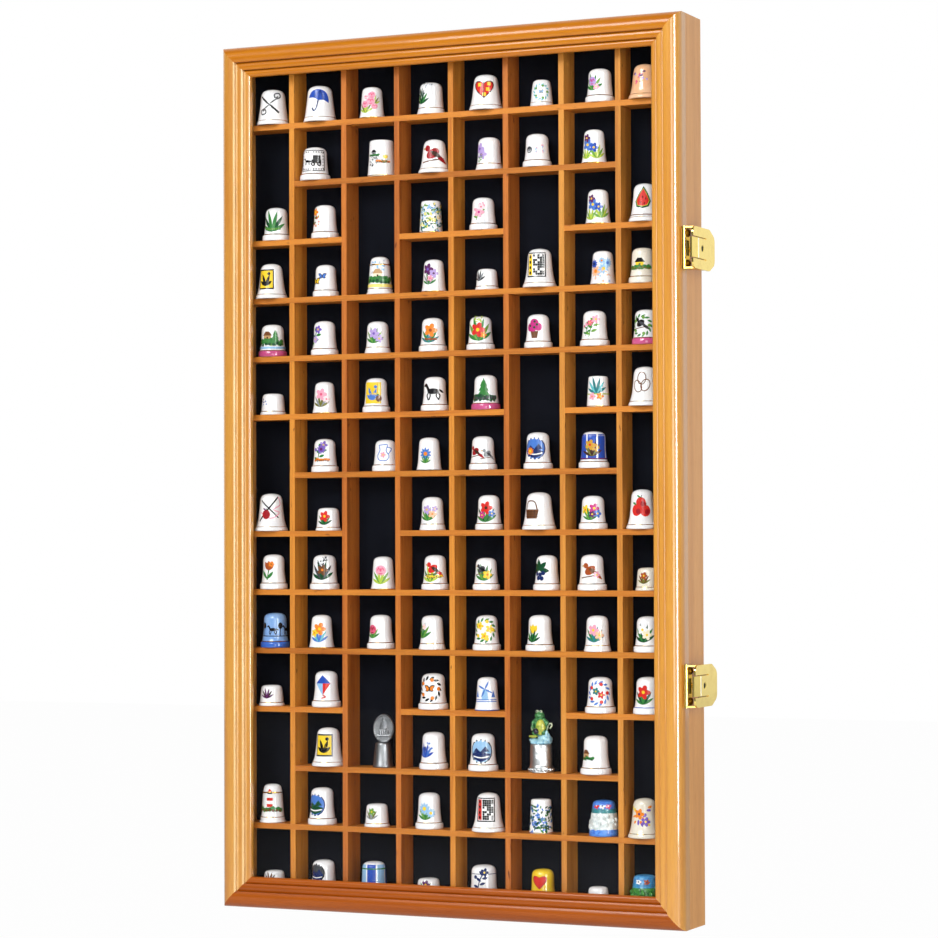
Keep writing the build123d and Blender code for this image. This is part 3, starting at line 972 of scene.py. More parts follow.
    def pony(self, coat: Tint) -> None:
        """A trotting horse in silhouette."""
        self.dot(coat, 0, 0, 0.28, 0.13)
        self.line(coat, [(-0.2, 0.04), (-0.34, 0.28)], 0.14)
        self.dot(coat, -0.4, 0.27, 0.12, 0.06, -30)
        for du, knee, hoof in ((-0.22, -0.3, -0.22), (-0.16, -0.12, -0.2), (0.2, 0.14, 0.26), (0.24, 0.32, 0.24)):
            self.line(coat, [(du, -0.06), (knee, -0.2), (hoof, -0.4)], 0.06)
        self.leaf(coat, 0.26, 0.08, 0.3, 0.1, 120)

    def cart(self, ink: Tint) -> None:
        """A covered cart in silhouette, drawn by a pony."""
        self.block(ink, -0.04, -0.12, 0.5, 0.06)
        self.block(ink, 0.04, 0.06, 0.46, 0.3)
        self.line(ink, [(-0.4, -0.04), (0, -0.04)], 0.05)
        self.within(-0.3, -0.02, 0.5, self.pony, ink)
        for du in (0.04, 0.38):
            self.dot(ink, du, -0.18, 0.12)
            self.dot(Tint.WHITE, du, -0.18, 0.04)

    def umbrella(self, cover: Tint, ribs: Tint) -> None:
        """An open umbrella with a hooked handle, leaning to the left."""
        lean = radians(14)

        def at(du: float, dv: float) -> Point:
            """A point of the leaning umbrella."""
            return (du * cos(lean) + dv * sin(lean), dv * cos(lean) - du * sin(lean))

        crown = [at(0.5 * sin(radians(a)), 0.5 * cos(radians(a))) for a in range(-88, 89, 16)]
        self.fan(cover, crown + [at(0.24, 0.08), at(0.0, 0.02), at(-0.24, 0.08)])
        for du in (-0.22, 0.0, 0.22):
            self.line(ribs, [at(0.0, 0.46), at(du, 0.1)], 0.025)
        self.line(Tint.NAVY, [at(0.0, 0.02), at(0.0, -0.36), at(-0.08, -0.48), at(-0.18, -0.38)], 0.065,
                  soft=True)

    def heart(self, first: Tint, second: Tint, edge: Tint) -> None:
        """A heart of patches with a stitched edge."""

        def outline(scale: float) -> list[Point]:
            """The heart's edge at a scale."""
            path = []
            for k in range(24):
                t = 2 * pi * k / 24
                path.append((scale * 0.031 * 16 * sin(t) ** 3,
                             scale * 0.031 * (13 * cos(t) - 5 * cos(2 * t) - 2 * cos(3 * t))))
            return path

        self.fan(edge, outline(1.0))
        self.fan(first, outline(0.87))
        for du, dv in ((-0.2, 0.16), (0.18, -0.06), (0.02, -0.3), (0.24, 0.2)):
            self.block(second, du - 0.08, dv - 0.08, du + 0.08, dv + 0.08)
        self.line(edge, [(0, 0.3), (0, -0.42)], 0.03)

    def needles(self, steel: Tint, thread: Tint) -> None:
        """Two crossed needles with a loop of thread."""
        self.line(steel, [(-0.4, -0.45), (0.4, 0.5)], 0.06)
        self.line(steel, [(0.42, -0.32), (-0.3, 0.36)], 0.05)
        self.line(thread, [(0.4, 0.5), (0.5, 0.2), (0.2, 0), (0.46, -0.12), (0.1, -0.34), (-0.34, -0.1)], 0.04,
                  soft=True)

    def thread(self, steel: Tint, thread: Tint) -> None:
        """A needle lying across two curls of thread."""
        self.line(steel, [(-0.46, 0.34), (0.4, -0.4)], 0.085)
        for side in (1, -1):
            curl = [(0.0, 0.02), (0.26, 0.2), (0.46, 0.3), (0.4, 0.46), (0.2, 0.42), (0.22, 0.26), (0.36, 0.32)]
            self.line(thread, [(side * du, side * dv) for du, dv in curl], 0.055, soft=True)

    def melon(self, flesh: Tint, rind: Tint) -> None:
        """A wedge of melon on end, with its pips."""
        for tint, scale in ((rind, 1.0), (Tint.LIME, 0.84), (flesh, 0.78)):
            wedge = [(0.08, 0.56), (0.28, 0.2), (0.42, -0.16), (0.3, -0.42), (0.0, -0.5), (-0.3, -0.42),
                     (-0.36, -0.16), (-0.16, 0.2)]
            self.fan(tint, [(du * scale, dv * scale) for du, dv in wedge])
        for du, dv in ((-0.1, -0.2), (0.1, -0.26), (0.02, 0.04), (0.16, -0.04)):
            self.dot(Tint.BLACK, du, dv, 0.025, 0.05)

    def fruit(self, skin: Tint, leaf: Tint) -> None:
        """A round fruit with a leaf and a short stalk."""
        self.dot(skin, 0, -0.06, 0.38, 0.42)
        self.dot(Tint.CRIMSON if skin is Tint.SCARLET else skin, 0.14, -0.14, 0.18, 0.2)
        self.line(Tint.UMBER, [(0, 0.3), (0.06, 0.5)], 0.06)
        self.leaf(leaf, 0, 0.34, 0.34, 0.16, -62)

    def jug(self, ink: Tint, flower: Tint) -> None:
        """A jug drawn in line, with a flower on it."""
        self.line(ink, [(-0.24, 0.4), (-0.18, 0.1), (-0.34, -0.2), (-0.2, -0.45), (0.2, -0.45), (0.34, -0.2),
                        (0.18, 0.1), (0.26, 0.42), (-0.24, 0.4)], 0.05, soft=True)
        self.line(ink, [(0.2, 0.3), (0.5, 0.2), (0.3, -0.1)], 0.05, soft=True)
        self.within(0, -0.14, 0.34, self.blossom, flower, Tint.YELLOW)

    def basket(self, cane: Tint, dark: Tint) -> None:
        """A woven basket with a hooped handle."""
        self.line(cane, [(-0.34, 0), (-0.2, 0.42), (0.2, 0.42), (0.34, 0)], 0.06, soft=True)
        self.fan(cane, [(-0.42, 0.04), (0.42, 0.04), (0.3, -0.42), (-0.3, -0.42)])
        for dv in (-0.08, -0.2, -0.32):
            self.line(dark, [(-0.36, dv), (0.36, dv)], 0.035)
        for du in (-0.2, 0.0, 0.2):
            self.line(dark, [(du, 0), (du * 0.8, -0.4)], 0.035)

    def kite(self, first: Tint, second: Tint, third: Tint) -> None:
        """A flying kite of three colours with its tail."""
        top, left, right, low = (0, 0.5), (-0.34, 0.14), (0.34, 0.14), (0, -0.36)
        self.fan(first, [top, right, (0, 0.14), left])
        self.fan(second, [(0, 0.14), right, low])
        self.fan(third, [left, (0, 0.14), low])
        self.line(second, [low, (0.12, -0.44), (-0.06, -0.5)], 0.05, soft=True)

    def eggs(self, ink: Tint) -> None:
        """Egg outlines leaning on each other."""
        for du, dv, turn in ((-0.2, -0.1, -20), (0.16, -0.06, 25), (0.0, 0.24, 5)):
            c, s = cos(radians(turn)), sin(radians(turn))
            ring = []
            for k in range(13):
                a = 2 * pi * k / 12
                x, y = 0.19 * cos(a), 0.27 * sin(a)
                ring.append((du + x * c + y * s, dv - x * s + y * c))
            self.line(ink, ring, 0.04)

    # -- scenes
    def bushes(self, first: Tint, second: Tint) -> None:
        """A low bank of bushes."""
        for k in range(9):
            du = k / 8 - 0.5
            self.dot(first, du, self.chance.uniform(-0.04, 0.06), 0.1, 0.09)
        for k in range(7):
            du = (k / 6 - 0.5) * 0.9
            self.dot(second, du, -0.05 + self.chance.uniform(-0.03, 0.05), 0.06)

    def pine(self, needle: Tint, ground: Tint) -> None:
        """A pine with bushes at its foot."""
        self.within(0, -0.42, 1.1, self.bushes, ground, Tint.PINE)
        self.line(Tint.UMBER, [(0, -0.45), (0, -0.2)], 0.08)
        for low, high, half in ((-0.28, 0.1, 0.3), (-0.08, 0.3, 0.24), (0.12, 0.5, 0.17)):
            self.fan(needle, [(0, high), (half, low), (-half, low)])

    def cottage(self, wall: Tint, roof: Tint) -> None:
        """A cottage among bushes."""
        self.block(wall, -0.28, -0.2, 0.28, 0.1)
        self.fan(roof, [(-0.36, 0.08), (-0.12, 0.36), (0.16, 0.36), (0.36, 0.08)])
        self.block(Tint.UMBER, -0.04, -0.2, 0.08, 0)
        self.within(0, -0.24, 1.2, self.bushes, Tint.GREEN, Tint.PINE)

    def panel(self, ground: Tint, figure: Tint, edge: Tint) -> None:
        """A bordered upright panel with a leafy figure."""
        self.block(edge, -0.42, -0.5, 0.42, 0.5)
        self.block(ground, -0.36, -0.43, 0.36, 0.43)
        for turn, reach in ((-50, 0.4), (50, 0.4), (-18, 0.62), (20, 0.58)):
            self.leaf(figure, 0, -0.34, reach, 0.15, turn)
        self.dot(figure, 0.16, 0.28, 0.08)

    def roundel(self, sky: Tint, land: Tint, rim: Tint) -> None:
        """A round scene of hills under the sky."""
        self.dot(rim, 0, 0, 0.5)
        self.dot(sky, 0, 0, 0.45)
        hills = [(-0.42, -0.12), (-0.2, 0.14), (-0.02, -0.02), (0.18, 0.2), (0.42, -0.1), (0.3, -0.32),
                 (0.0, -0.43), (-0.3, -0.32)]
        self.fan(land, hills)
        self.line(Tint.WHITE, [(-0.34, -0.2), (0, -0.26), (0.34, -0.2)], 0.05, soft=True)

    def windmill(self, ink: Tint, pale: Tint) -> None:
        """A windmill over a line of water, with boats."""
        self.fan(pale, [(-0.1, 0.14), (0.1, 0.14), (0.16, -0.32), (-0.16, -0.32)])
        for turn in (25, 115, 205, 295):
            self.leaf(ink, 0, 0.14, 0.4, 0.09, turn)
        for side in (-0.42, 0.4):
            self.fan(ink, [(side, 0.1), (side + 0.1, -0.22), (side - 0.1, -0.22)])
        for dv in (-0.34, -0.42):
            self.line(ink, [(-0.6, dv), (0.6, dv)], 0.04)

    def lighthouse(self, band: Tint, ground: Tint) -> None:
        """A banded lighthouse on a green bank."""
        self.fan(Tint.WHITE, [(-0.09, 0.3), (0.09, 0.3), (0.15, -0.3), (-0.15, -0.3)])
        for dv in (-0.2, 0.06):
            self.block(band, -0.13, dv - 0.06, 0.13, dv + 0.06)
        self.block(Tint.BLACK, -0.1, 0.28, 0.1, 0.38)
        self.fan(band, [(-0.1, 0.38), (0, 0.5), (0.1, 0.38)])
        self.within(0, -0.36, 1.0, self.bushes, ground, Tint.BROWN)

    # -- borders
    def fret(self, ink: Tint) -> None:
        """A frame of small keys about the front."""
        mm = 1 / self.size
        half, tall, inset, key = 0.46, 0.36, 1.2 * mm, 0.9 * mm
        for side in (-1, 1):
            self.line(ink, [(-half, side * tall), (half, side * tall)], 0.55 * mm)
            self.line(ink, [(side * half, -tall), (side * half, tall)], 0.55 * mm)
            for k in range(10):
                self.brick(ink, (k / 9 - 0.5) * half * 1.84, side * (tall - inset), key, 0.8 * mm)
            for k in range(6):
                self.brick(ink, side * (half - inset), (k / 5 - 0.5) * tall * 1.5, 0.8 * mm, key)

    def patchwork(self, ground: Tint, ink: Tint, side: Tint) -> None:
        """An upright panel of small blocks with a coloured strip down its left."""
        self.block(ink, -0.42, -0.5, 0.42, 0.5)
        self.block(ground, -0.37, -0.45, 0.37, 0.45)
        self.block(side, -0.35, -0.43, -0.16, 0.43)
        for column in range(5):
            for row in range(9):
                if self.chance.random() < 0.74:
                    u0, v0 = -0.12 + column * 0.094, -0.42 + row * 0.094
                    self.block(ink, u0, v0, u0 + 0.088, v0 + 0.088)
        for row in range(4):
            self.dot(ink, -0.26, (row / 3 - 0.5) * 0.66, 0.05, 0.07)

    def parade(self, ink: Tint) -> None:
        """A row of trees, posts and ponies in silhouette."""
        mm = 1 / self.size
        self.line(ink, [(-0.9, -0.26), (0.9, -0.26)], 0.6 * mm)
        for du in (-0.72, 0.02, 0.68):
            self.within(du, 0, 0.5, self.pony, ink)
        for du in (-0.38, 0.34):
            self.line(ink, [(du, -0.26), (du, 0.1)], 0.5 * mm)
            self.dot(ink, du, 0.16, 0.1, 0.13)

    def stripes(self, first: Tint, second: Tint) -> None:
        """Upright panels of two colours round the wall."""
        for k in range(-2, 3):
            mid = k * 0.4
            self.block(first if k % 2 == 0 else second, mid - 0.17, -0.5, mid + 0.17, 0.5)

    def ring(self, tint: Tint) -> None:
        """A plain line all round the wall, as thick as its size."""
        turn = pi * self.wall(self.v) / self.size
        self.line(tint, [(-turn, 0), (turn, 0)], 1)


# ---------------------------------------------------------------- thimbles
class Form(Enum):
    """The shapes in which the thimbles are turned."""

    BANDED = "banded"
    FLARED = "flared"
    BELL = "bell"
    FLARE = "flare"
    STRAIGHT = "straight"
    TAPER = "taper"
    SHORT = "short"
    RINGED = "ringed"


@dataclass(frozen=True)
class Profile:
    """A thimble's outside: points from the base up, then points from the top down.

    The letter of a point says what covers the stretch below it: b body, f foot, g gilt line.
    """

    foot: tuple[tuple[float, float, str], ...]
    crown: tuple[tuple[float, float, str], ...]


def cover(letters: str, *points: Point) -> tuple[tuple[float, float, str], ...]:
    """Points, each with the letter of what covers the stretch below it."""
    return tuple((*point, letter) for point, letter in zip(points, letters))


ROUND_CROWN = cover("bbbbbb", (7.6, 4.5), (7.35, 3.2), (6.8, 2.0), (5.85, 1.1), (4.4, 0.45), (2.4, 0.12))
PROFILES = {
    Form.BANDED: Profile(
        cover("ffffffgbbbb", (9.5, 0.0), (9.9, 0.35), (9.95, 1.0), (9.85, 3.4), (9.6, 3.9), (9.15, 4.2),
              (8.95, 4.75), (8.7, 5.2), (8.4, 7.5), (8.1, 10.0), (7.8, 13.0)), ROUND_CROWN),
    Form.FLARED: Profile(
        cover("ffffffgbbbb", (9.3, 0.0), (9.65, 0.3), (9.6, 0.8), (9.2, 2.0), (8.9, 3.2), (8.75, 4.0), (8.65, 4.5),
              (8.45, 5.0), (8.2, 7.5), (8.0, 10.0), (7.8, 13.0)), ROUND_CROWN),
    Form.BELL: Profile(
        cover("fffffgbbbbbb", (10.6, 0.0), (11.05, 0.35), (11.1, 0.9), (10.75, 1.9), (10.35, 2.8), (10.2, 3.2),
              (9.8, 4.2), (9.3, 6.0), (8.85, 8.2), (8.5, 10.8), (8.2, 13.5), (7.95, 16.0)),
        cover("bbbbbb", (7.55, 5.4), (7.3, 3.9), (6.75, 2.5), (5.8, 1.35), (4.3, 0.6), (2.3, 0.15))),
    Form.FLARE: Profile(
        cover("bggbbbbb", (8.9, 0.0), (9.15, 0.25), (9.1, 0.75), (8.8, 1.8), (8.4, 3.6), (8.05, 6.0), (7.8, 9.0),
              (7.6, 12.0)),
        cover("bbbbbb", (7.1, 4.1), (6.85, 2.8), (6.3, 1.7), (5.2, 0.85), (3.8, 0.35), (2.0, 0.08))),
    Form.STRAIGHT: Profile(
        cover("bbgbbbb", (8.8, 0.0), (9.1, 0.3), (9.05, 0.9), (8.85, 3.0), (8.6, 6.5), (8.35, 10.0), (8.1, 13.5)),
        cover("bbbbbb", (7.75, 2.6), (7.65, 1.5), (7.3, 0.7), (6.6, 0.3), (4.8, 0.1), (2.4, 0.02))),
    Form.TAPER: Profile(
        cover("ffffgbbb", (7.8, 0.0), (8.1, 0.3), (8.05, 1.0), (7.85, 2.6), (7.7, 3.0), (7.45, 5.0), (7.15, 8.0),
              (6.9, 11.0)),
        cover("bbbbbb", (6.2, 3.0), (5.95, 1.9), (5.4, 1.0), (4.4, 0.4), (2.6, 0.1), (1.4, 0.03))),
    Form.SHORT: Profile(
        cover("ffffgbbb", (8.5, 0.0), (8.8, 0.3), (8.65, 1.0), (8.2, 2.2), (8.05, 2.7), (7.9, 3.4), (7.7, 6.0),
              (7.5, 8.5)),
        cover("bbbbbb", (7.15, 3.0), (6.9, 1.9), (6.3, 1.0), (5.2, 0.42), (3.4, 0.12), (1.8, 0.03))),
    Form.RINGED: Profile(
        cover("ffffbbbgbbb", (9.2, 0.0), (9.75, 0.4), (9.6, 1.1), (8.9, 1.9), (8.9, 2.4), (9.1, 3.0), (8.75, 3.7),
              (8.5, 4.2), (8.2, 7.0), (7.9, 11.0), (7.6, 15.0)),
        cover("bggbbbbb", (7.2, 6.4), (7.35, 5.9), (7.3, 5.4), (6.85, 5.0), (6.6, 3.2), (6.0, 1.7), (4.7, 0.7),
              (2.6, 0.15))),
}


@dataclass(frozen=True)
class Thimble:
    """One thimble: its place in the case, its shape and what is printed on it."""

    row: int
    column: int
    form: Form
    height: float
    shift: float  # from the middle of its cell to the right
    girth: float  # its radii as a share of its form's
    marks: tuple[Mark, ...] = ()
    body: Ware = Ware.WHITE
    foot: Ware | None = None
    line: Ware = Ware.GILT
    facing: float = 24.6  # degrees from the front towards the right
    wall: float = 1.5  # thickness of the porcelain
    room: float = 11.8  # the widest that fits between the felt and the glass
    slim: float = 10.2  # radii over this give way when the foot would be too wide
    waist: float = 0.8  # the least height between the points of the foot and those of the crown
    point: float = 4.0  # the radius taken for prints that would reach over the crown

    @classmethod
    def read(cls, entry: str) -> Thimble:
        """The thimble that an entry of the catalogue describes."""
        first, *marks = entry.split(";")
        row, column, form, height, shift, girth, *wares = first.split()
        named = {part: Ware[ware.upper()] for part, ware in (word.split("=") for word in wares)}
        return cls(int(row), int(column), Form(form), float(height), float(shift), float(girth),
                   tuple(Mark.read(mark) for mark in marks), **named)

    def outline(self) -> list[tuple[float, float, str]]:
        """The outside from the base to the top of the crown, with each stretch's letter."""
        profile = PROFILES[self.form]
        highest = self.height - profile.crown[0][1] - self.waist
        foot = [point for point in profile.foot if point[1] < highest]
        crown = [(radius, self.height - below, letter) for radius, below, letter in profile.crown]
        points = [(radius * self.girth, height, letter) for radius, height, letter in foot + crown]
        widest = max(point[0] for point in points)
        if widest > self.room:
            squeeze = (self.room - self.slim) / (widest - self.slim)
            points = [(min(radius, self.slim + (radius - self.slim) * squeeze), height, letter)
                      for radius, height, letter in points]
        return points + [(0.0, self.height, "b")]

    def radius_at(self, v: float) -> float:
        """The outside radius at a height above the base."""
        outline = self.outline()
        for low, high in zip(outline, outline[1:]):
            if v <= high[1] and high[1] > low[1]:
                share = min(max((v - low[1]) / (high[1] - low[1]), 0.0), 1.0)
                return low[0] + (high[0] - low[0]) * share
        return self.point

    def build(self, shape: Shape, palette: Palette, at: Vector) -> None:
        """Adds the thimble and its prints to a piece.

        Args:
            shape: The piece that takes it.
            palette: Where its finishes come from.
            at: The middle of its base.
        """
        body = palette.ware(self.body)
        covers = {"b": body, "f": palette.ware(self.foot or self.body), "g": palette.ware(self.line)}
        outside = self.outline()
        crown_radius, crown_height = outside[-5][0] - self.wall, self.height - 1.9
        inside = [(0.0, crown_height), (crown_radius * 0.8, crown_height - 0.25),
                  (crown_radius, crown_height - 1.6), (outside[0][0] - self.wall, 0.9),
                  (outside[0][0] - self.wall, 0.0)]
        outline = inside + [(radius, height) for radius, height, _ in outside]
        materials = [body] * len(inside) + [covers[letter] for _, _, letter in outside[1:]]
        shape.turned(outline, materials, at, lowered=self.height)
        prints = Transfer(shape, palette, self.radius_at, at, radians(self.facing), self.row * 10 + self.column)
        for mark in self.marks:
            prints.lay(mark)


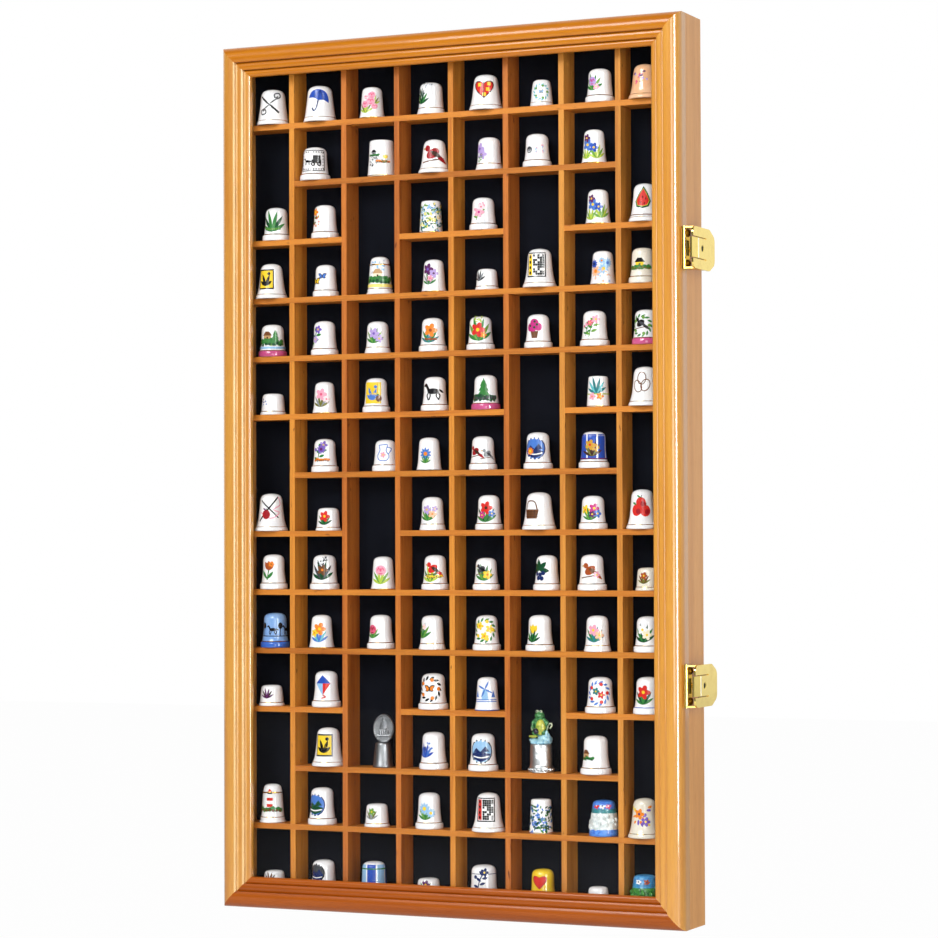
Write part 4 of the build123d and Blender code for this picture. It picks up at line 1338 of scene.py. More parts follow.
# One thimble to an entry, going on over indented lines: row, column, form, height, shift and girth, then any
# wares; then each mark after a semicolon, as motif, u, v, size and tints.
CATALOGUE = """
1 1 bell 25.8 2.2 1.15; thread 0 13.5 12.5 black charcoal
1 2 bell 26 -1.5 1.17; umbrella 0.6 13.4 12.5 royal navy
1 3 flare 22.6 -2.5 1; leaves -3 6.5 7 lime olive; leaves 3 11.5 6 lime olive; rose -3.4 8.6 4.8 pink rose;
  rose 0.8 10.8 5.2 pink rose; rose 1.6 15 4.6 pink rose; rose 3.6 7 3.8 pink rose; rose -2.4 13.6 3 blush
  rose
1 4 flared 22.6 2 1.04; leaves -6 10.5 8 pine green; leaves -6.4 14 5 pine grey; splash -1 19.4 5 grey mist
1 5 bell 25 3.2 1.12; heart 0 13.5 11.5 scarlet yellow umber
1 6 taper 18.8 2.9 1; wreath 1 8.6 8.5 aqua leaf; butterfly 1 8.6 3.2 sky grey
1 7 banded 23.4 4.5 1.02; leaves -4 12 9 green leaf; rose -4.6 13 5.6 lilac magenta; blossom -1.4 9 3.6 pink
  yellow
1 8 bell 24 -3.5 1.05 body=peach; splash -3 14 9 lilac rose plum
2 2 banded 24 -6 1.1; fret 0 12.6 15.5 black; cart 0 12.4 10 black
2 3 straight 25.9 4.8 1.1; bushes 3 9 7 orange black; cottage -4 15 5 grey black; splash -4.4 9 6 black grey;
  tulip 4.6 11 5 yellow olive
2 4 bell 23.9 5 1.03; bird 0.4 12 13 crimson umber
2 5 flared 23 4.8 1; blossom -6 13.4 6.4 lilac violet; blossom -3.6 9.4 5.4 lilac blush; sprig -5 7 5 leaf
  violet
2 6 banded 23.2 -0.6 1.02; roundel -4.5 10.5 3.6 charcoal grey charcoal; splash 3.5 11 5 pink sky
2 7 flare 23.6 0.1 0.97; leaves -4.6 5.6 6.6 lime leaf; leaves 3 6.6 8 lime leaf; blossom -3.4 11.4 6.4 blue
  yellow; blossom 1 9.4 5 royal yellow; blossom -4 16 4.4 plum yellow
3 1 banded 24 4 1.02; leaves -1 12 12 green pine; bushes -1 7.4 8 green leaf
3 2 banded 24 1.5 1; sprig -8 12.5 11 olive orange; splash -7.6 11 8 orange scarlet gold
3 4 straight 22.6 1.6 0.9; foliage 0 10 17 leaf teal pine sky lemon
3 5 banded 22.9 0.2 0.99; sprig -1 11.6 9 leaf pink; blossom -1.6 11 6 pink magenta; blossom 0 14.6 4 blush
  rose
3 7 flare 24 2.8 0.98; leaves -4 5.6 7 lime leaf; leaves 3.6 7.4 8 leaf lime; blossom -2.4 12 6.4 blue yellow;
  blossom 1.6 10.4 4.6 royal yellow; blossom -3.4 16 4.4 plum yellow
3 8 bell 26.2 -4.5 1; melon -0.6 14.5 11 scarlet pine; ring 0 3.2 0.46 brown
4 1 bell 25.3 0.5 1.05; panel -2 12.5 11 yellow black black
4 2 banded 22.9 2 0.94; butterfly -6 9.4 6 yellow umber; butterfly -0.6 13 5 blue navy
4 3 ringed 26.7 3.3 0.99; splash 0 18 9 sky mist; cottage 0 12.5 8.5 ivory tan; bushes 0 8.4 15 green pine;
  ring 0 4.8 1.66 lemon
4 4 flare 23 3.7 0.97; leaves -2 8 7 green grey; blossom -2.8 14.6 6.4 plum violet; blossom 1.6 11.6 5 lilac
  plum; blossom -1 8.2 3.6 pink rose
4 5 short 14.8 2.8 0.96; leaves -4.6 8.6 6.4 charcoal grey
4 6 bell 26.8 1.5 1.08; patchwork -1.2 14 13 white black yellow
4 7 flare 23.4 6 0.97; daisy -4 8 6.6 peach orange; daisy -5.4 13 5 royal navy; daisy 1.8 9.6 5.8 sky yellow;
  daisy 4.6 13.6 5.4 sky blue; daisy 0.6 15 3.6 sky orange; splash 1 5 8 sky peach
4 8 banded 24.2 -6.2 1 body=cream; cottage -1.4 12 8 yellow black; bushes -1.4 9.4 11 green olive
5 1 banded 23.3 0.7 1.04 foot=pink; cottage -2 13 8 tan brown; pine 4 12.6 8.5 green leaf; bushes 0 8.6 14
  green pine; ring 0 5.2 1.11 sky
5 2 banded 24.4 1 0.99; sprig -5 12 11 green violet; blossom -5.6 10 4.4 lilac yellow
5 3 flared 22.7 1.5 0.98; leaves -1 11 9 green leaf; blossom -1 12.6 6 lilac violet; blossom 2.8 9 4.4 lilac
  yellow
5 4 banded 23.7 2.8 1; leaves -1 10 9 teal green; blossom 0 13.5 7.4 orange rust; bushes 0 7.2 6 rust brown
5 5 banded 23.4 -2.2 1; leaves 0 12.5 13 green leaf; blossom -0.4 12.6 8 scarlet yellow; blossom 3.6 9 3.6
  orange yellow; splash 0 19.4 6 lime
5 6 banded 23.4 -0.3 0.99; potted -1.4 12.5 11 magenta brown
5 7 banded 24.4 -0.1 1.03; sprig 0 12 11 leaf pink; sprig -3.4 11 8 green rose
5 8 banded 23.8 -4.2 1 foot=pink; bird -3 13 8.4 black charcoal; wreath -2.4 11.4 11 green leaf
6 1 short 15.4 1 1.07; splash -5.4 8 4.5 navy blue
6 2 flare 22.7 0.9 0.96; leaves -1 8 8 olive grey; blossom -0.6 12.4 6.6 pink rose; blossom 3.2 9 4 blush rose
6 3 banded 24.3 0.2 0.99; panel -1 12.4 11.5 yellow blue yellow; fruit 3.6 8.8 4.4 brown green
6 4 banded 24 4.2 1; pony 0.4 12.4 12 black
6 5 banded 24.2 1.6 1.03 foot=pink; pine 0 13 12 green pine; bushes 0 7.4 13 pine charcoal
6 7 straight 21.2 2.2 0.87; leaves 0 13 9 teal aqua; ring 0 7.6 0.55 lime; blossom -3 6 4 pink orange; blossom
  2.6 6 4 orange yellow
6 8 bell 26.6 -4.5 1.05; eggs -1.4 13.5 12 brown
7 2 banded 23.6 1 0.98; sprig -1 13 11 green violet; daisy -0.8 15 5.4 violet plum; bushes -0.6 7.4 8 orange
  brown
7 3 banded 22.2 7.3 0.96; jug 0 12 9.5 blue pink
7 4 flare 23.2 -0.3 0.99 line=line; daisy -1 10.5 6.8 blue orange; leaves -1 6.8 5 green leaf
7 5 banded 23.4 -0.7 0.99; bird -4.4 11.4 8.6 crimson umber; bird 4.6 9.8 7.4 grey charcoal
7 6 banded 25.3 -0.8 1.02; roundel -1 12.8 12 blue navy navy; daisy -4.4 11 4.4 orange yellow
7 7 banded 25.1 -1.1 1.06; stripes 0 14 14 royal royal; leaves 0 12 9 umber olive; blossom -1.4 14.6 5.6 gold
  scarlet; blossom 2.4 12.6 4.4 gold brown; ring 0 5.2 0.74 plum
8 1 bell 26.8 0.1 1.07; needles 0 14 14 black pink; fruit -1.6 11 6 crimson plum
8 2 short 16.3 3.6 1.05; leaves -1 7 7 pine green; blossom -0.8 9 6 scarlet yellow
8 4 flared 23.2 2.1 0.96; leaves -2 10 8 green leaf; blossom -2.4 13 5 lilac yellow; blossom 1.6 10 4.6 peach
  orange; blossom 3.2 13.6 3.4 lilac yellow
8 5 banded 24.1 3.7 0.98; leaves -1 10 10 green pine; blossom -0.6 14 7 scarlet umber; blossom -3.6 9 4
  magenta yellow; blossom 3.4 10 3.8 blue yellow
8 6 bell 25.6 0.3 1.12; basket -4.4 12 10.5 brown umber
8 7 banded 22.9 -1.9 0.99; blossom -4.4 12 5.4 yellow orange; leaves -1 9 7 green leaf; blossom 2 13 5.4
  magenta yellow; blossom 4.4 9.4 4.4 blue yellow; blossom 0.6 9 3.8 plum yellow
8 8 bell 26.8 -7.3 1; fruit -3 12 7.2 scarlet green; fruit 3.2 11.6 7.2 scarlet green; fruit 0.2 17 6.8
  scarlet green
9 1 banded 24.8 1.2 1; tulip -1.4 13 10.5 rust green; blossom 0.4 16.6 3.4 orange brown
9 2 banded 24.5 0.6 1.06; leaves 0 12 11 pine charcoal; blossom 0.4 12.6 6 brown orange; splash 0 18.4 6
  charcoal
9 3 flare 23.2 5.2 0.97; leaves 0 8 9 lime leaf; rose 0 12.2 6.6 pink rose
9 4 banded 24.2 4 0.98; leaves -2 9.6 9 lime green; bird 0 13.4 10 scarlet umber; bushes 1 8 8 yellow olive
9 5 banded 22.2 1.4 0.95; leaves 0 10.5 9 green leaf; bird -2 13 8 charcoal black; blossom 2.4 9.4 5 yellow
  orange
9 6 banded 24 5.4 0.96; berries -4.4 11.5 11 pine navy
9 7 banded 24.4 -2.8 1.01; bird 0 12.4 11 rust brown; blossom 4.4 9.4 3.8 pink yellow
9 8 short 15.6 -3.7 1 body=cream; leaves -2 7 6 olive brown; blossom -1.8 8.8 4 rust yellow
10 1 banded 24.6 2.4 1.06 body=blue foot=royal; parade 0 11.6 13.5 black
10 2 flare 23.4 -1.9 0.99; leaves 0 8 8.4 blue aqua; blossom 0.4 12.4 7 orange yellow; blossom -3.4 9.6 4.4
  yellow orange
10 3 banded 23.8 3.3 0.99; leaves -4.6 10.4 7 green leaf; rose -5 12.4 6 rose crimson
10 4 flared 23.7 1.5 0.98; leaves -6 12 9 green leaf; sprig -6 11 8 green blush
10 5 banded 24.1 1.6 0.99; wreath 0 12.6 12 green yellow; blossom -3.4 15.6 4.4 yellow orange; blossom 3.6
  13.6 4.6 yellow orange; blossom 0 8.6 4.4 yellow orange
10 6 banded 24.5 0 1.01; tulip -3.6 11.6 9.6 yellow green; leaves -4 9 7 pine green
10 7 flared 24.4 0.9 0.98; leaves -1 10.6 9 teal green; blossom -1.6 13.4 6 pink yellow; blossom 2.6 10 5
  peach yellow
10 8 banded 24.2 -3.9 1; leaves -2 11.4 10 pine green; blossom -2.8 14 6 white yellow; blossom 0.4 10.6 5.4
  ivory yellow
11 1 short 14.8 -0.6 1.06; leaves -1.4 7.6 6 plum umber
11 2 banded 25.3 1.8 1.05; kite -0.6 13.2 12.5 royal scarlet sky
11 4 banded 24.9 2.3 1.06; wreath -1 13 12.5 black orange; butterfly -1 13 6 orange umber
11 5 flare 22.9 1.8 0.96 line=royal; windmill 0 11.4 11.5 blue sky
11 7 banded 24.3 2.8 1.06; wreath 0 12.4 12 blue scarlet; blossom -1.8 13.6 4 teal yellow; blossom 2 11.2 4
  scarlet yellow
11 8 banded 24.9 -4.1 1.04 line=royal; leaves -2.4 10.6 9 green pine; blossom -2.2 13.6 7.4 scarlet yellow
12 2 bell 26.9 3.9 1.06; panel -1.4 13.6 12 yellow black charcoal
12 4 banded 25.6 2.4 1.02; splash -4.4 13 8 blue navy; leaves -4.6 11.6 8 royal blue
12 5 banded 25.6 -1.3 1.06; roundel 0 12.4 13 sky navy black
12 7 banded 26 -0.6 1.07; cottage -6.6 12 7.4 tan brown
13 1 ringed 27.2 0 0.97 foot=white; lighthouse 0 14.4 13 scarlet green
13 2 banded 25.9 -1.7 1.04; roundel -3.6 12.8 12 blue pine navy
13 3 short 16 -0.1 1.04; leaves -2.4 7.8 6.4 grey olive; blossom -2 9.4 4 leaf yellow
13 4 banded 24.9 -1.1 0.99; leaves -1 10 8 green leaf; daisy -1.8 13 6.6 sky yellow; daisy 2.8 10 5.4 sky
  yellow
13 5 bell 26.4 3 1.06; patchwork -0.6 14 12.5 white black scarlet
13 6 straight 23.4 0.3 0.9; foliage 0 10 17 green blue pine
13 8 bell 26.4 -6.7 1.03 body=cream; splash -2 14 12 orange violet yellow; blossom -2.6 15 5.6 orange plum;
  blossom 1.8 10 5 violet yellow
14 1 short 15 1.3 1; leaves -1.4 9 6.4 brown umber
14 2 banded 24 -0.7 1.03; roundel -3.6 14 10 charcoal navy black
14 3 banded 24.6 -2.4 1.08; stripes 0 13.6 14 royal sky; ring 0 18.6 0.65 green
14 4 short 14.8 -1.8 1.06; leaves -0.6 8.6 6 plum green; blossom -0.4 9.6 4.6 plum yellow
14 5 banded 25.8 -0.9 1.12; sprig 0 15 11 navy navy; ring 0 18.8 0.32 navy
14 6 banded 24.8 1.4 1 body=yellow; heart -1 15.5 8.4 scarlet scarlet crimson
14 7 short 14.6 0.6 0.94
"""
COLLECTION = tuple(Thimble.read(entry) for entry in CATALOGUE.replace("\n  ", " ").strip().splitlines())


@dataclass(frozen=True)
class Resin:
    """Painted cast resin, thinly washed so that the hollows are darker."""

    colour: Colour
    wash: Colour

    def material(self, name: str) -> Material:
        """The painted surface."""
        bench = Bench(name)
        x, y, z = bench.place()
        wash = bench.noise(x * 0.55, y * 0.55, z * 0.55, detail=3.0)
        colour = bench.mixed(wash.rising(0.4, 0.66), self.colour, self.wash)
        return bench.done(bench.principled(
            Base_Color=colour, Roughness=wash * 0.2 + 0.25, Normal=bench.bump(wash, 0.5, 0.4),
            Coat_Weight=0.3, Coat_Roughness=0.1,
        ))


class Sculptor:
    """Adds hand-formed bodies to a piece."""

    rings = 10  # of a lump, from its top to its foot
    steps = 20  # round a lump
    sides = 10  # of a rod

    def __init__(self, shape: Shape, at: Vector) -> None:
        """Works on a piece from a starting point."""
        self.shape = shape
        self.at = at

    def blob(self, x: float, y: float, z: float, radii: Sequence[float], material: Material,
             rough: float = 0.0, lean: float = 0.0) -> None:
        """A rounded lump.

        Args:
            x: Its middle to the right.
            y: Its middle towards the wall.
            z: Its middle upward.
            radii: Its three half-sizes.
            material: Its finish.
            rough: How far its surface is pushed in and out.
            lean: How far it leans to the right, in degrees.
        """
        rows = []
        turn = Matrix.Rotation(radians(lean), 3, "Y")
        for ring in range(self.rings + 1):
            down = pi * (1 - ring / self.rings)
            row = []
            for step in range(1 if ring in (0, self.rings) else self.steps):
                arc = 2 * pi * step / self.steps
                way = Vector((sin(down) * cos(arc), sin(down) * sin(arc), cos(down)))
                point = Vector((way.x * radii[0], way.y * radii[1], way.z * radii[2]))
                push = noise.noise((self.at + point) * 0.45) * rough
                row.append(self.at + Vector((x, y, z)) + turn @ (point + way * push))
            rows.append(row)
        self.shape.grid(rows, material, closed=True)

    def tube(self, points: Sequence[Sequence[float]], radius: float, material: Material) -> None:
        """A bent rod with rounded ends through points."""
        path = [self.at + Vector(point) for point in points]
        rows = [[path[0] - (path[1] - path[0]).normalized() * radius * 0.6]]
        for number, point in enumerate(path):
            before, after = path[max(0, number - 1)], path[min(len(path) - 1, number + 1)]
            way = (after - before).normalized()
            side = way.cross(Vector((0.0, 1.0, 0.2))).normalized()
            up = side.cross(way)
            rows.append([point + (side * cos(a) - up * sin(a)) * radius
                         for a in (2 * pi * k / self.sides for k in range(self.sides))])
        rows.append([path[-1] + (path[-1] - path[-2]).normalized() * radius * 0.6])
        self.shape.grid(rows, material, closed=True)


@dataclass(frozen=True)
class PewterThimble:
    """A plain pewter thimble that carries an upright oval medallion of a domed hall."""

    row: int = 12
    column: int = 3
    shift: float = 4.8
    base_radius: float = 7.3
    top_radius: float = 5.3
    height: float = 17.6
    half_width: float = 7.4
    half_height: float = 10.1
    thickness: float = 1.8
    lean: float = 16.0  # degrees round to the right
    rings: int = 26
    steps: int = 72

    def relief(self, x: float, z: float) -> float:
        """How far the medallion's face stands up at a point, both from -1 to 1."""
        reach = hypot(x, z)
        rim = 0.75 * max(0.0, 1 - abs(reach - 0.92) / 0.08)
        dome = 0.95 * max(0.0, 1 - (x / 0.36) ** 2 - ((z - 0.02) / 0.52) ** 2) ** 0.5 if z > -0.02 else 0.0
        spire = 0.7 if abs(x) < 0.05 and 0.4 < z < 0.74 else 0.0
        columns = 0.55 if -0.42 < z < -0.1 and abs(x) < 0.5 and sin(x * 30) > -0.1 else 0.0
        steps = 0.6 if -0.56 < z < -0.46 and abs(x) < 0.6 else 0.0
        return max(rim, dome, spire, columns, steps)

    def build(self, palette: Palette, at: Vector) -> bpy.types.Object:
        """Makes the thimble on the shelf at a point."""
        shape = Shape()
        metal = palette.get("pewter", PEWTER)
        wide, narrow, high = self.base_radius, self.top_radius, self.height
        outline = [(0.0, high - 1.6), (narrow - 1.2, high - 1.6), (wide - 1.2, 0.0), (wide - 0.2, 0.0),
                   (wide, 0.4), (wide - 0.05, 1.2), (wide - 0.35, 1.8), (narrow + 0.25, high - 2.0),
                   (narrow, high - 0.8), (narrow - 0.8, high - 0.1), (0.0, high)]
        shape.turned(outline, [metal] * 10, at)
        middle = at + Vector((0.6, 0.0, high + self.half_height - 0.7))
        turn = Matrix.Rotation(radians(self.lean), 3, "Z")
        half = self.thickness / 2
        face = [[middle + turn @ Vector((0, -half - self.relief(0, 0), 0))]]
        back = [[middle + turn @ Vector((0, half, 0))]]
        for ring in range(1, self.rings + 1):
            share = ring / self.rings
            front_row, back_row = [], []
            for step in range(self.steps):
                a = -2 * pi * step / self.steps
                x, z = share * cos(a), share * sin(a)
                across, up = x * self.half_width, z * self.half_height
                front_row.append(middle + turn @ Vector((across, -half - self.relief(x, z), up)))
                back_row.append(middle + turn @ Vector((across, half, up)))
            face.append(front_row)
            back.append(back_row)
        shape.grid(face, metal, closed=True)
        shape.grid([face[-1], back[-1]], metal, closed=True)
        shape.grid(list(reversed(back)), metal, closed=True)
        return shape.piece("pewter_medallion_thimble", "carcase")


@dataclass(frozen=True)
class FrogThimble:
    """A hammered silver thimble with a beaded foot, crowned by a frog sitting on a pale blue rock."""

    row: int = 12
    column: int = 6
    shift: float = 0.5
    radius: float = 7.4
    foot_radius: float = 8.9
    height: float = 19.6
    beads: int = 22

    def build(self, palette: Palette, at: Vector) -> bpy.types.Object:
        """Makes the thimble on the shelf at a point."""
        shape = Shape()
        silver = palette.get("hammered_silver", SILVER)
        bright = palette.get("bright_silver", Metal(paint(222, 224, 226), paint(160, 164, 168), 0.26))
        rim, wall, high = self.foot_radius, self.radius, self.height
        outline = [(0.0, high - 1.4), (wall - 1.2, high - 1.4), (rim - 1.4, 0.0), (rim - 0.2, 0.0), (rim, 0.4),
                   (rim, 1.0), (rim - 0.7, 1.3), (rim - 0.9, 2.9), (rim - 0.6, 3.3), (rim - 0.7, 3.8),
                   (wall + 0.3, 4.3), (wall + 0.1, 5.5), (wall - 0.1, high - 0.9), (wall - 0.6, high - 0.2),
                   (0.0, high)]
        shape.turned(outline, [bright] * 10 + [silver] * 4, at, steps=48)
        hands = Sculptor(shape, at)
        for k in range(self.beads):
            a = 2 * pi * k / self.beads
            hands.blob((rim - 0.5) * cos(a), (rim - 0.5) * sin(a), 2.1, (0.85, 0.85, 0.85), bright)
        rock = palette.get("resin_ice", Resin(paint(176, 220, 234), paint(120, 176, 206)))
        green = palette.get("resin_green", Resin(paint(74, 146, 84), paint(30, 84, 46)))
        belly = palette.get("resin_belly", Resin(paint(206, 204, 84), paint(150, 168, 60)))
        pale = palette.get("resin_pale", Resin(paint(214, 224, 196), paint(150, 176, 130)))
        dark = palette.get("resin_dark", Resin(paint(36, 30, 58), paint(20, 18, 30)))
        for x, y, z, radii in ((0, 0, 20.6, (7.4, 6.8, 2.4)), (2.6, 0.4, 22.6, (4.6, 4.6, 3.2)),
                               (5.2, 0.2, 22.6, (2.4, 3.2, 3.4)), (4.6, -1.0, 25.6, (1.9, 2.0, 2.8)),
                               (-4.2, -0.6, 21.4, (3.0, 3.6, 1.9)), (0.4, 2.0, 24.6, (4.0, 2.8, 2.6))):
            hands.blob(x, y, z, radii, rock, rough=1.5)
        for x, y, z, radii, lean in (
                (-0.4, 0.4, 31.4, (4.5, 3.6, 6.4), 0), (-0.9, 0.0, 38.2, (3.3, 3.0, 3.4), 0),
                (-0.9, -1.2, 38.6, (2.8, 2.4, 1.9), 0), (-3.6, -0.8, 26.6, (2.5, 3.0, 2.2), 0),
                (3.0, -0.6, 27.0, (2.6, 2.8, 2.4), 0), (-3.6, 0.0, 34.6, (1.9, 1.8, 2.6), 35),
                (2.8, 0.0, 34.4, (1.9, 1.8, 2.8), -35)):
            hands.blob(x, y, z, radii, green, rough=0.4, lean=lean)
        hands.blob(0.4, -1.4, 30.6, (3.5, 2.9, 5.4), belly, rough=0.3)
        hands.blob(-4.4, -3.0, 24.4, (3.0, 1.9, 1.0), belly, rough=0.4)
        hands.blob(-2.0, -4.0, 28.0, (1.9, 1.7, 2.1), dark)
        for x in (-2.3, 0.4):
            hands.blob(x, -0.8, 41.3, (1.15, 1.1, 1.1), pale)
            hands.blob(x, -1.75, 41.4, (0.45, 0.35, 0.5), dark)
        hands.tube(((-4.6, -0.4, 35.0), (-6.0, -1.0, 33.4), (-5.2, -2.2, 31.2), (-3.6, -3.4, 29.4)), 0.95, green)
        hands.tube(((3.8, -0.4, 35.0), (5.2, -0.8, 34.2), (4.6, -2.0, 32.2)), 0.95, green)
        hands.tube(((-6.0, -1.0, 28.6), (-6.2, -1.2, 30.2), (-5.8, -1.4, 31.2)), 0.8, pale)
        hands.tube(((4.2, 0.4, 28.4), (5.0, 0.4, 31.4), (6.2, 0.4, 33.2), (7.6, 0.4, 33.4), (8.0, 0.4, 32.0),
                    (6.6, 0.4, 29.8)), 0.6, pale)
        return shape.piece("frog_thimble", "carcase")


@dataclass(frozen=True)
class ModelledThimble:
    """A thimble modelled in relief: a painted cap over a rough band and a coloured foot."""

    name: str
    row: int
    column: int
    shift: float
    height: float
    foot: tuple[Colour, Colour]
    middle: tuple[Colour, Colour]
    ring: tuple[Colour, Colour]
    cap: tuple[Colour, Colour]
    marks: tuple[Mark, ...]
    roughness: float = 0.9
    knobs: int = 30
    knob_radius: float = 1.5
    relief: float = 0.35  # how far the prints stand out

    def build(self, palette: Palette, at: Vector) -> bpy.types.Object:
        """Makes the thimble on the shelf at a point."""
        shape = Shape()
        foot, middle, ring, cap = (palette.get(f"{self.name}_{part}", Resin(*getattr(self, part)))
                                   for part in ("foot", "middle", "ring", "cap"))
        high = self.height
        outline = [(0.0, high - 1.6), (6.6, high - 1.8), (8.4, 0.0), (9.8, 0.0), (10.2, 0.4), (10.1, 2.4),
                   (9.9, 3.9), (9.9, 4.6), (9.75, 6.0), (9.5, 8.0), (9.3, 10.0), (9.0, 12.0), (8.9, 14.0),
                   (8.6, high - 8.4), (8.2, high - 7.9), (8.3, high - 6.2), (7.9, high - 5.6), (7.7, high - 3.0),
                   (7.1, high - 1.3), (5.4, high - 0.4), (2.6, high - 0.08), (0.0, high)]
        finishes = [cap] * 3 + [foot] * 4 + [middle] * 6 + [ring] * 3 + [cap] * 5
        shape.turned(outline, finishes, at, steps=56)
        hands = Sculptor(shape, at)
        lumps = random.Random(self.row)
        for k in range(self.knobs):
            a = 2 * pi * k / self.knobs + lumps.uniform(-0.08, 0.08)
            z = lumps.uniform(5.0, high - 9.5)
            radius = 9.2 - (z - 5) * 0.08
            radii = (self.knob_radius, self.knob_radius, lumps.uniform(1.2, 2.0))
            hands.blob(radius * cos(a), radius * sin(a), z, radii, middle, rough=self.roughness)
        wall = Thimble(self.row, self.column, Form.BANDED, high, self.shift, 1.0)
        prints = Transfer(shape, palette, lambda v: wall.radius_at(v) + self.relief, at,
                          radians(wall.facing), self.row)
        for mark in self.marks:
            prints.lay(mark)
        return shape.piece(self.name, "carcase")


MODELLED = (
    ModelledThimble("cloud_thimble", 13, 7, 5.1, 24.0, (paint(92, 152, 240), paint(54, 104, 206)),
                    (paint(236, 242, 242), paint(200, 212, 214)), (paint(56, 142, 148), paint(36, 112, 128)),
                    (paint(84, 148, 236), paint(60, 110, 210)),
                    Mark.several("blossom -4.2 19.4 3.6 scarlet white; blossom 0.2 19.4 3.6 white navy;"
                                 "blossom 4.4 19.4 3.6 rose white")),
    ModelledThimble("garden_thimble", 14, 8, -7.0, 24.0, (paint(206, 190, 60), paint(160, 176, 58)),
                    (paint(74, 156, 62), paint(36, 104, 52)), (paint(66, 158, 206), paint(46, 122, 180)),
                    (paint(84, 168, 222), paint(54, 128, 196)),
                    Mark.several("blossom -3.4 18.6 3.4 white navy; blossom 2.4 18.2 3.4 rust navy")),
)


@dataclass
class ThimbleCollection:
    """Every thimble in the case, standing on its shelf."""

    left: float = -164.0  # inner face of the left board
    column_pitch: float = 41.4875
    cell_width: float = 37.5875
    first_floor: float = -29.0  # top of the first shelf
    row_pitch: float = 41.3417
    last_floor: float = -574.0  # top of the bottom board
    rows: int = 14
    depth: float = 18.6  # from the wall to a thimble's middle
    felt_front: float = 8.0
    gap: float = 0.2
    modelled_radius: float = 10.6  # the room kept for those that are modelled one by one

    def stand(self, row: int, column: int, shift: float, radius: float) -> Vector:
        """Where the middle of a thimble's base stands.

        Args:
            row: The row of cells, from 1 at the top.
            column: The column of cells, from 1 at the left.
            shift: How far it stands to the right of its cell's middle.
            radius: Its base's radius, which keeps it clear of the felt.

        Returns:
            The point in the part's frame.
        """
        x = self.left + (column - 1) * self.column_pitch + self.cell_width / 2 + shift
        floor = self.last_floor if row == self.rows else self.first_floor - (row - 1) * self.row_pitch
        return Vector((x, -max(self.depth, self.felt_front + self.gap + radius), floor + 0.02))

    def build(self, palette: Palette) -> None:
        """Makes one piece for each row of porcelain, and the thimbles that are modelled one by one."""
        for row in range(1, self.rows + 1):
            shape = Shape()
            members = [thimble for thimble in COLLECTION if thimble.row == row]
            for thimble in members:
                radius = max(point[0] for point in thimble.outline())
                thimble.build(shape, palette, self.stand(row, thimble.column, thimble.shift, radius))
            shape.piece(f"thimbles_row_{row:02d}", "carcase")
            log.info("row %d holds %d thimbles", row, len(members))
        for special in (PewterThimble(), FrogThimble(), *MODELLED):
            at = self.stand(special.row, special.column, special.shift, self.modelled_radius)
            special.build(palette, at)


# ---------------------------------------------------------------- case, door and fittings
def dress(material: Material, *nodes: str) -> None:
    """Gives CAD nodes a finish, in all their slots."""
    for name in nodes:
        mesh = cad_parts[name].data
        mesh.materials.clear()
        mesh.materials.append(material)
        log.info("%s, dressed in %s", name, material.name)


def soften(node: str, width: float) -> None:
    """Rounds the sharp edges of a CAD node with a modifier, by that many millimetres."""
    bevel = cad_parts[node].modifiers.new("softened_edges", "BEVEL")
    bevel.width = width * MM
    bevel.segments = 2
    bevel.limit_method = "ANGLE"
    bevel.angle_limit = radians(40)


@dataclass
class CaseLooks:
    """Finishes of the carcase, its back and its lattice."""

    dividers: int = 7
    shelves: int = 13
    side_pale: Colour = paint(228, 162, 84)
    side_dark: Colour = paint(198, 128, 54)
    divider_pale: Colour = paint(224, 148, 56)
    divider_dark: Colour = paint(176, 96, 26)
    shelf_pale: Colour = paint(208, 130, 46)
    shelf_dark: Colour = paint(164, 84, 22)
    redder: tuple[int, ...] = (2, 3, 5)
    yellower: tuple[int, ...] = (6, 7)

    def build(self, palette: Palette) -> None:
        """Dresses every node of the carcase."""
        for number, (side, run) in enumerate((("left", Run.ALONG_Z), ("right", Run.ALONG_Z), ("top", Run.ALONG_X),
                                              ("bottom", Run.ALONG_X))):
            wood = LacqueredWood(self.side_pale, self.side_dark, run, 3.1 + number * 7.7, figure=0.45,
                                 streaks=0.22, coat=0.15)
            dress(palette.get(f"wood_carcase_{side}", wood), f"carcase_{side}")
        for number in range(1, self.dividers + 1):
            pale, dark = self.divider_pale, self.divider_dark
            if number in self.redder:
                pale, dark = paint(202, 118, 46), paint(150, 70, 22)
            elif number in self.yellower:
                pale, dark = paint(218, 148, 62), paint(174, 100, 32)
            wood = LacqueredWood(pale, dark, Run.ALONG_Z, 40.0 + number * 5.3, roughness=0.42, figure=0.6,
                                 streaks=0.6, flecks=0.8, coat=0.2)
            dress(palette.get(f"wood_divider_{number}", wood), f"divider_{number}")
        for number in range(1, self.shelves + 1):
            tone = 1.0 + 0.08 * sin(number * 2.4)
            wood = LacqueredWood(lighter(self.shelf_pale, tone), lighter(self.shelf_dark, tone), Run.ALONG_X,
                                 80.0 + number * 4.1, roughness=0.42, figure=0.6, streaks=0.6, flecks=0.6,
                                 coat=0.2)
            dress(palette.get(f"wood_shelf_{number:02d}", wood), f"shelf_{number:02d}")
        batten = LacqueredWood(paint(214, 176, 124), paint(184, 138, 86), Run.ALONG_X, 150.0, roughness=0.6,
                               figure=0.5)
        dress(palette.get("wood_batten", batten), "hanging_batten")
        dress(palette.get("pressed_board", Board()), "back_panel")
        dress(palette.get("black_felt", Felt()), "felt_liner")
        log.info("carcase dressed: %d dividers, %d shelves", self.dividers, self.shelves)


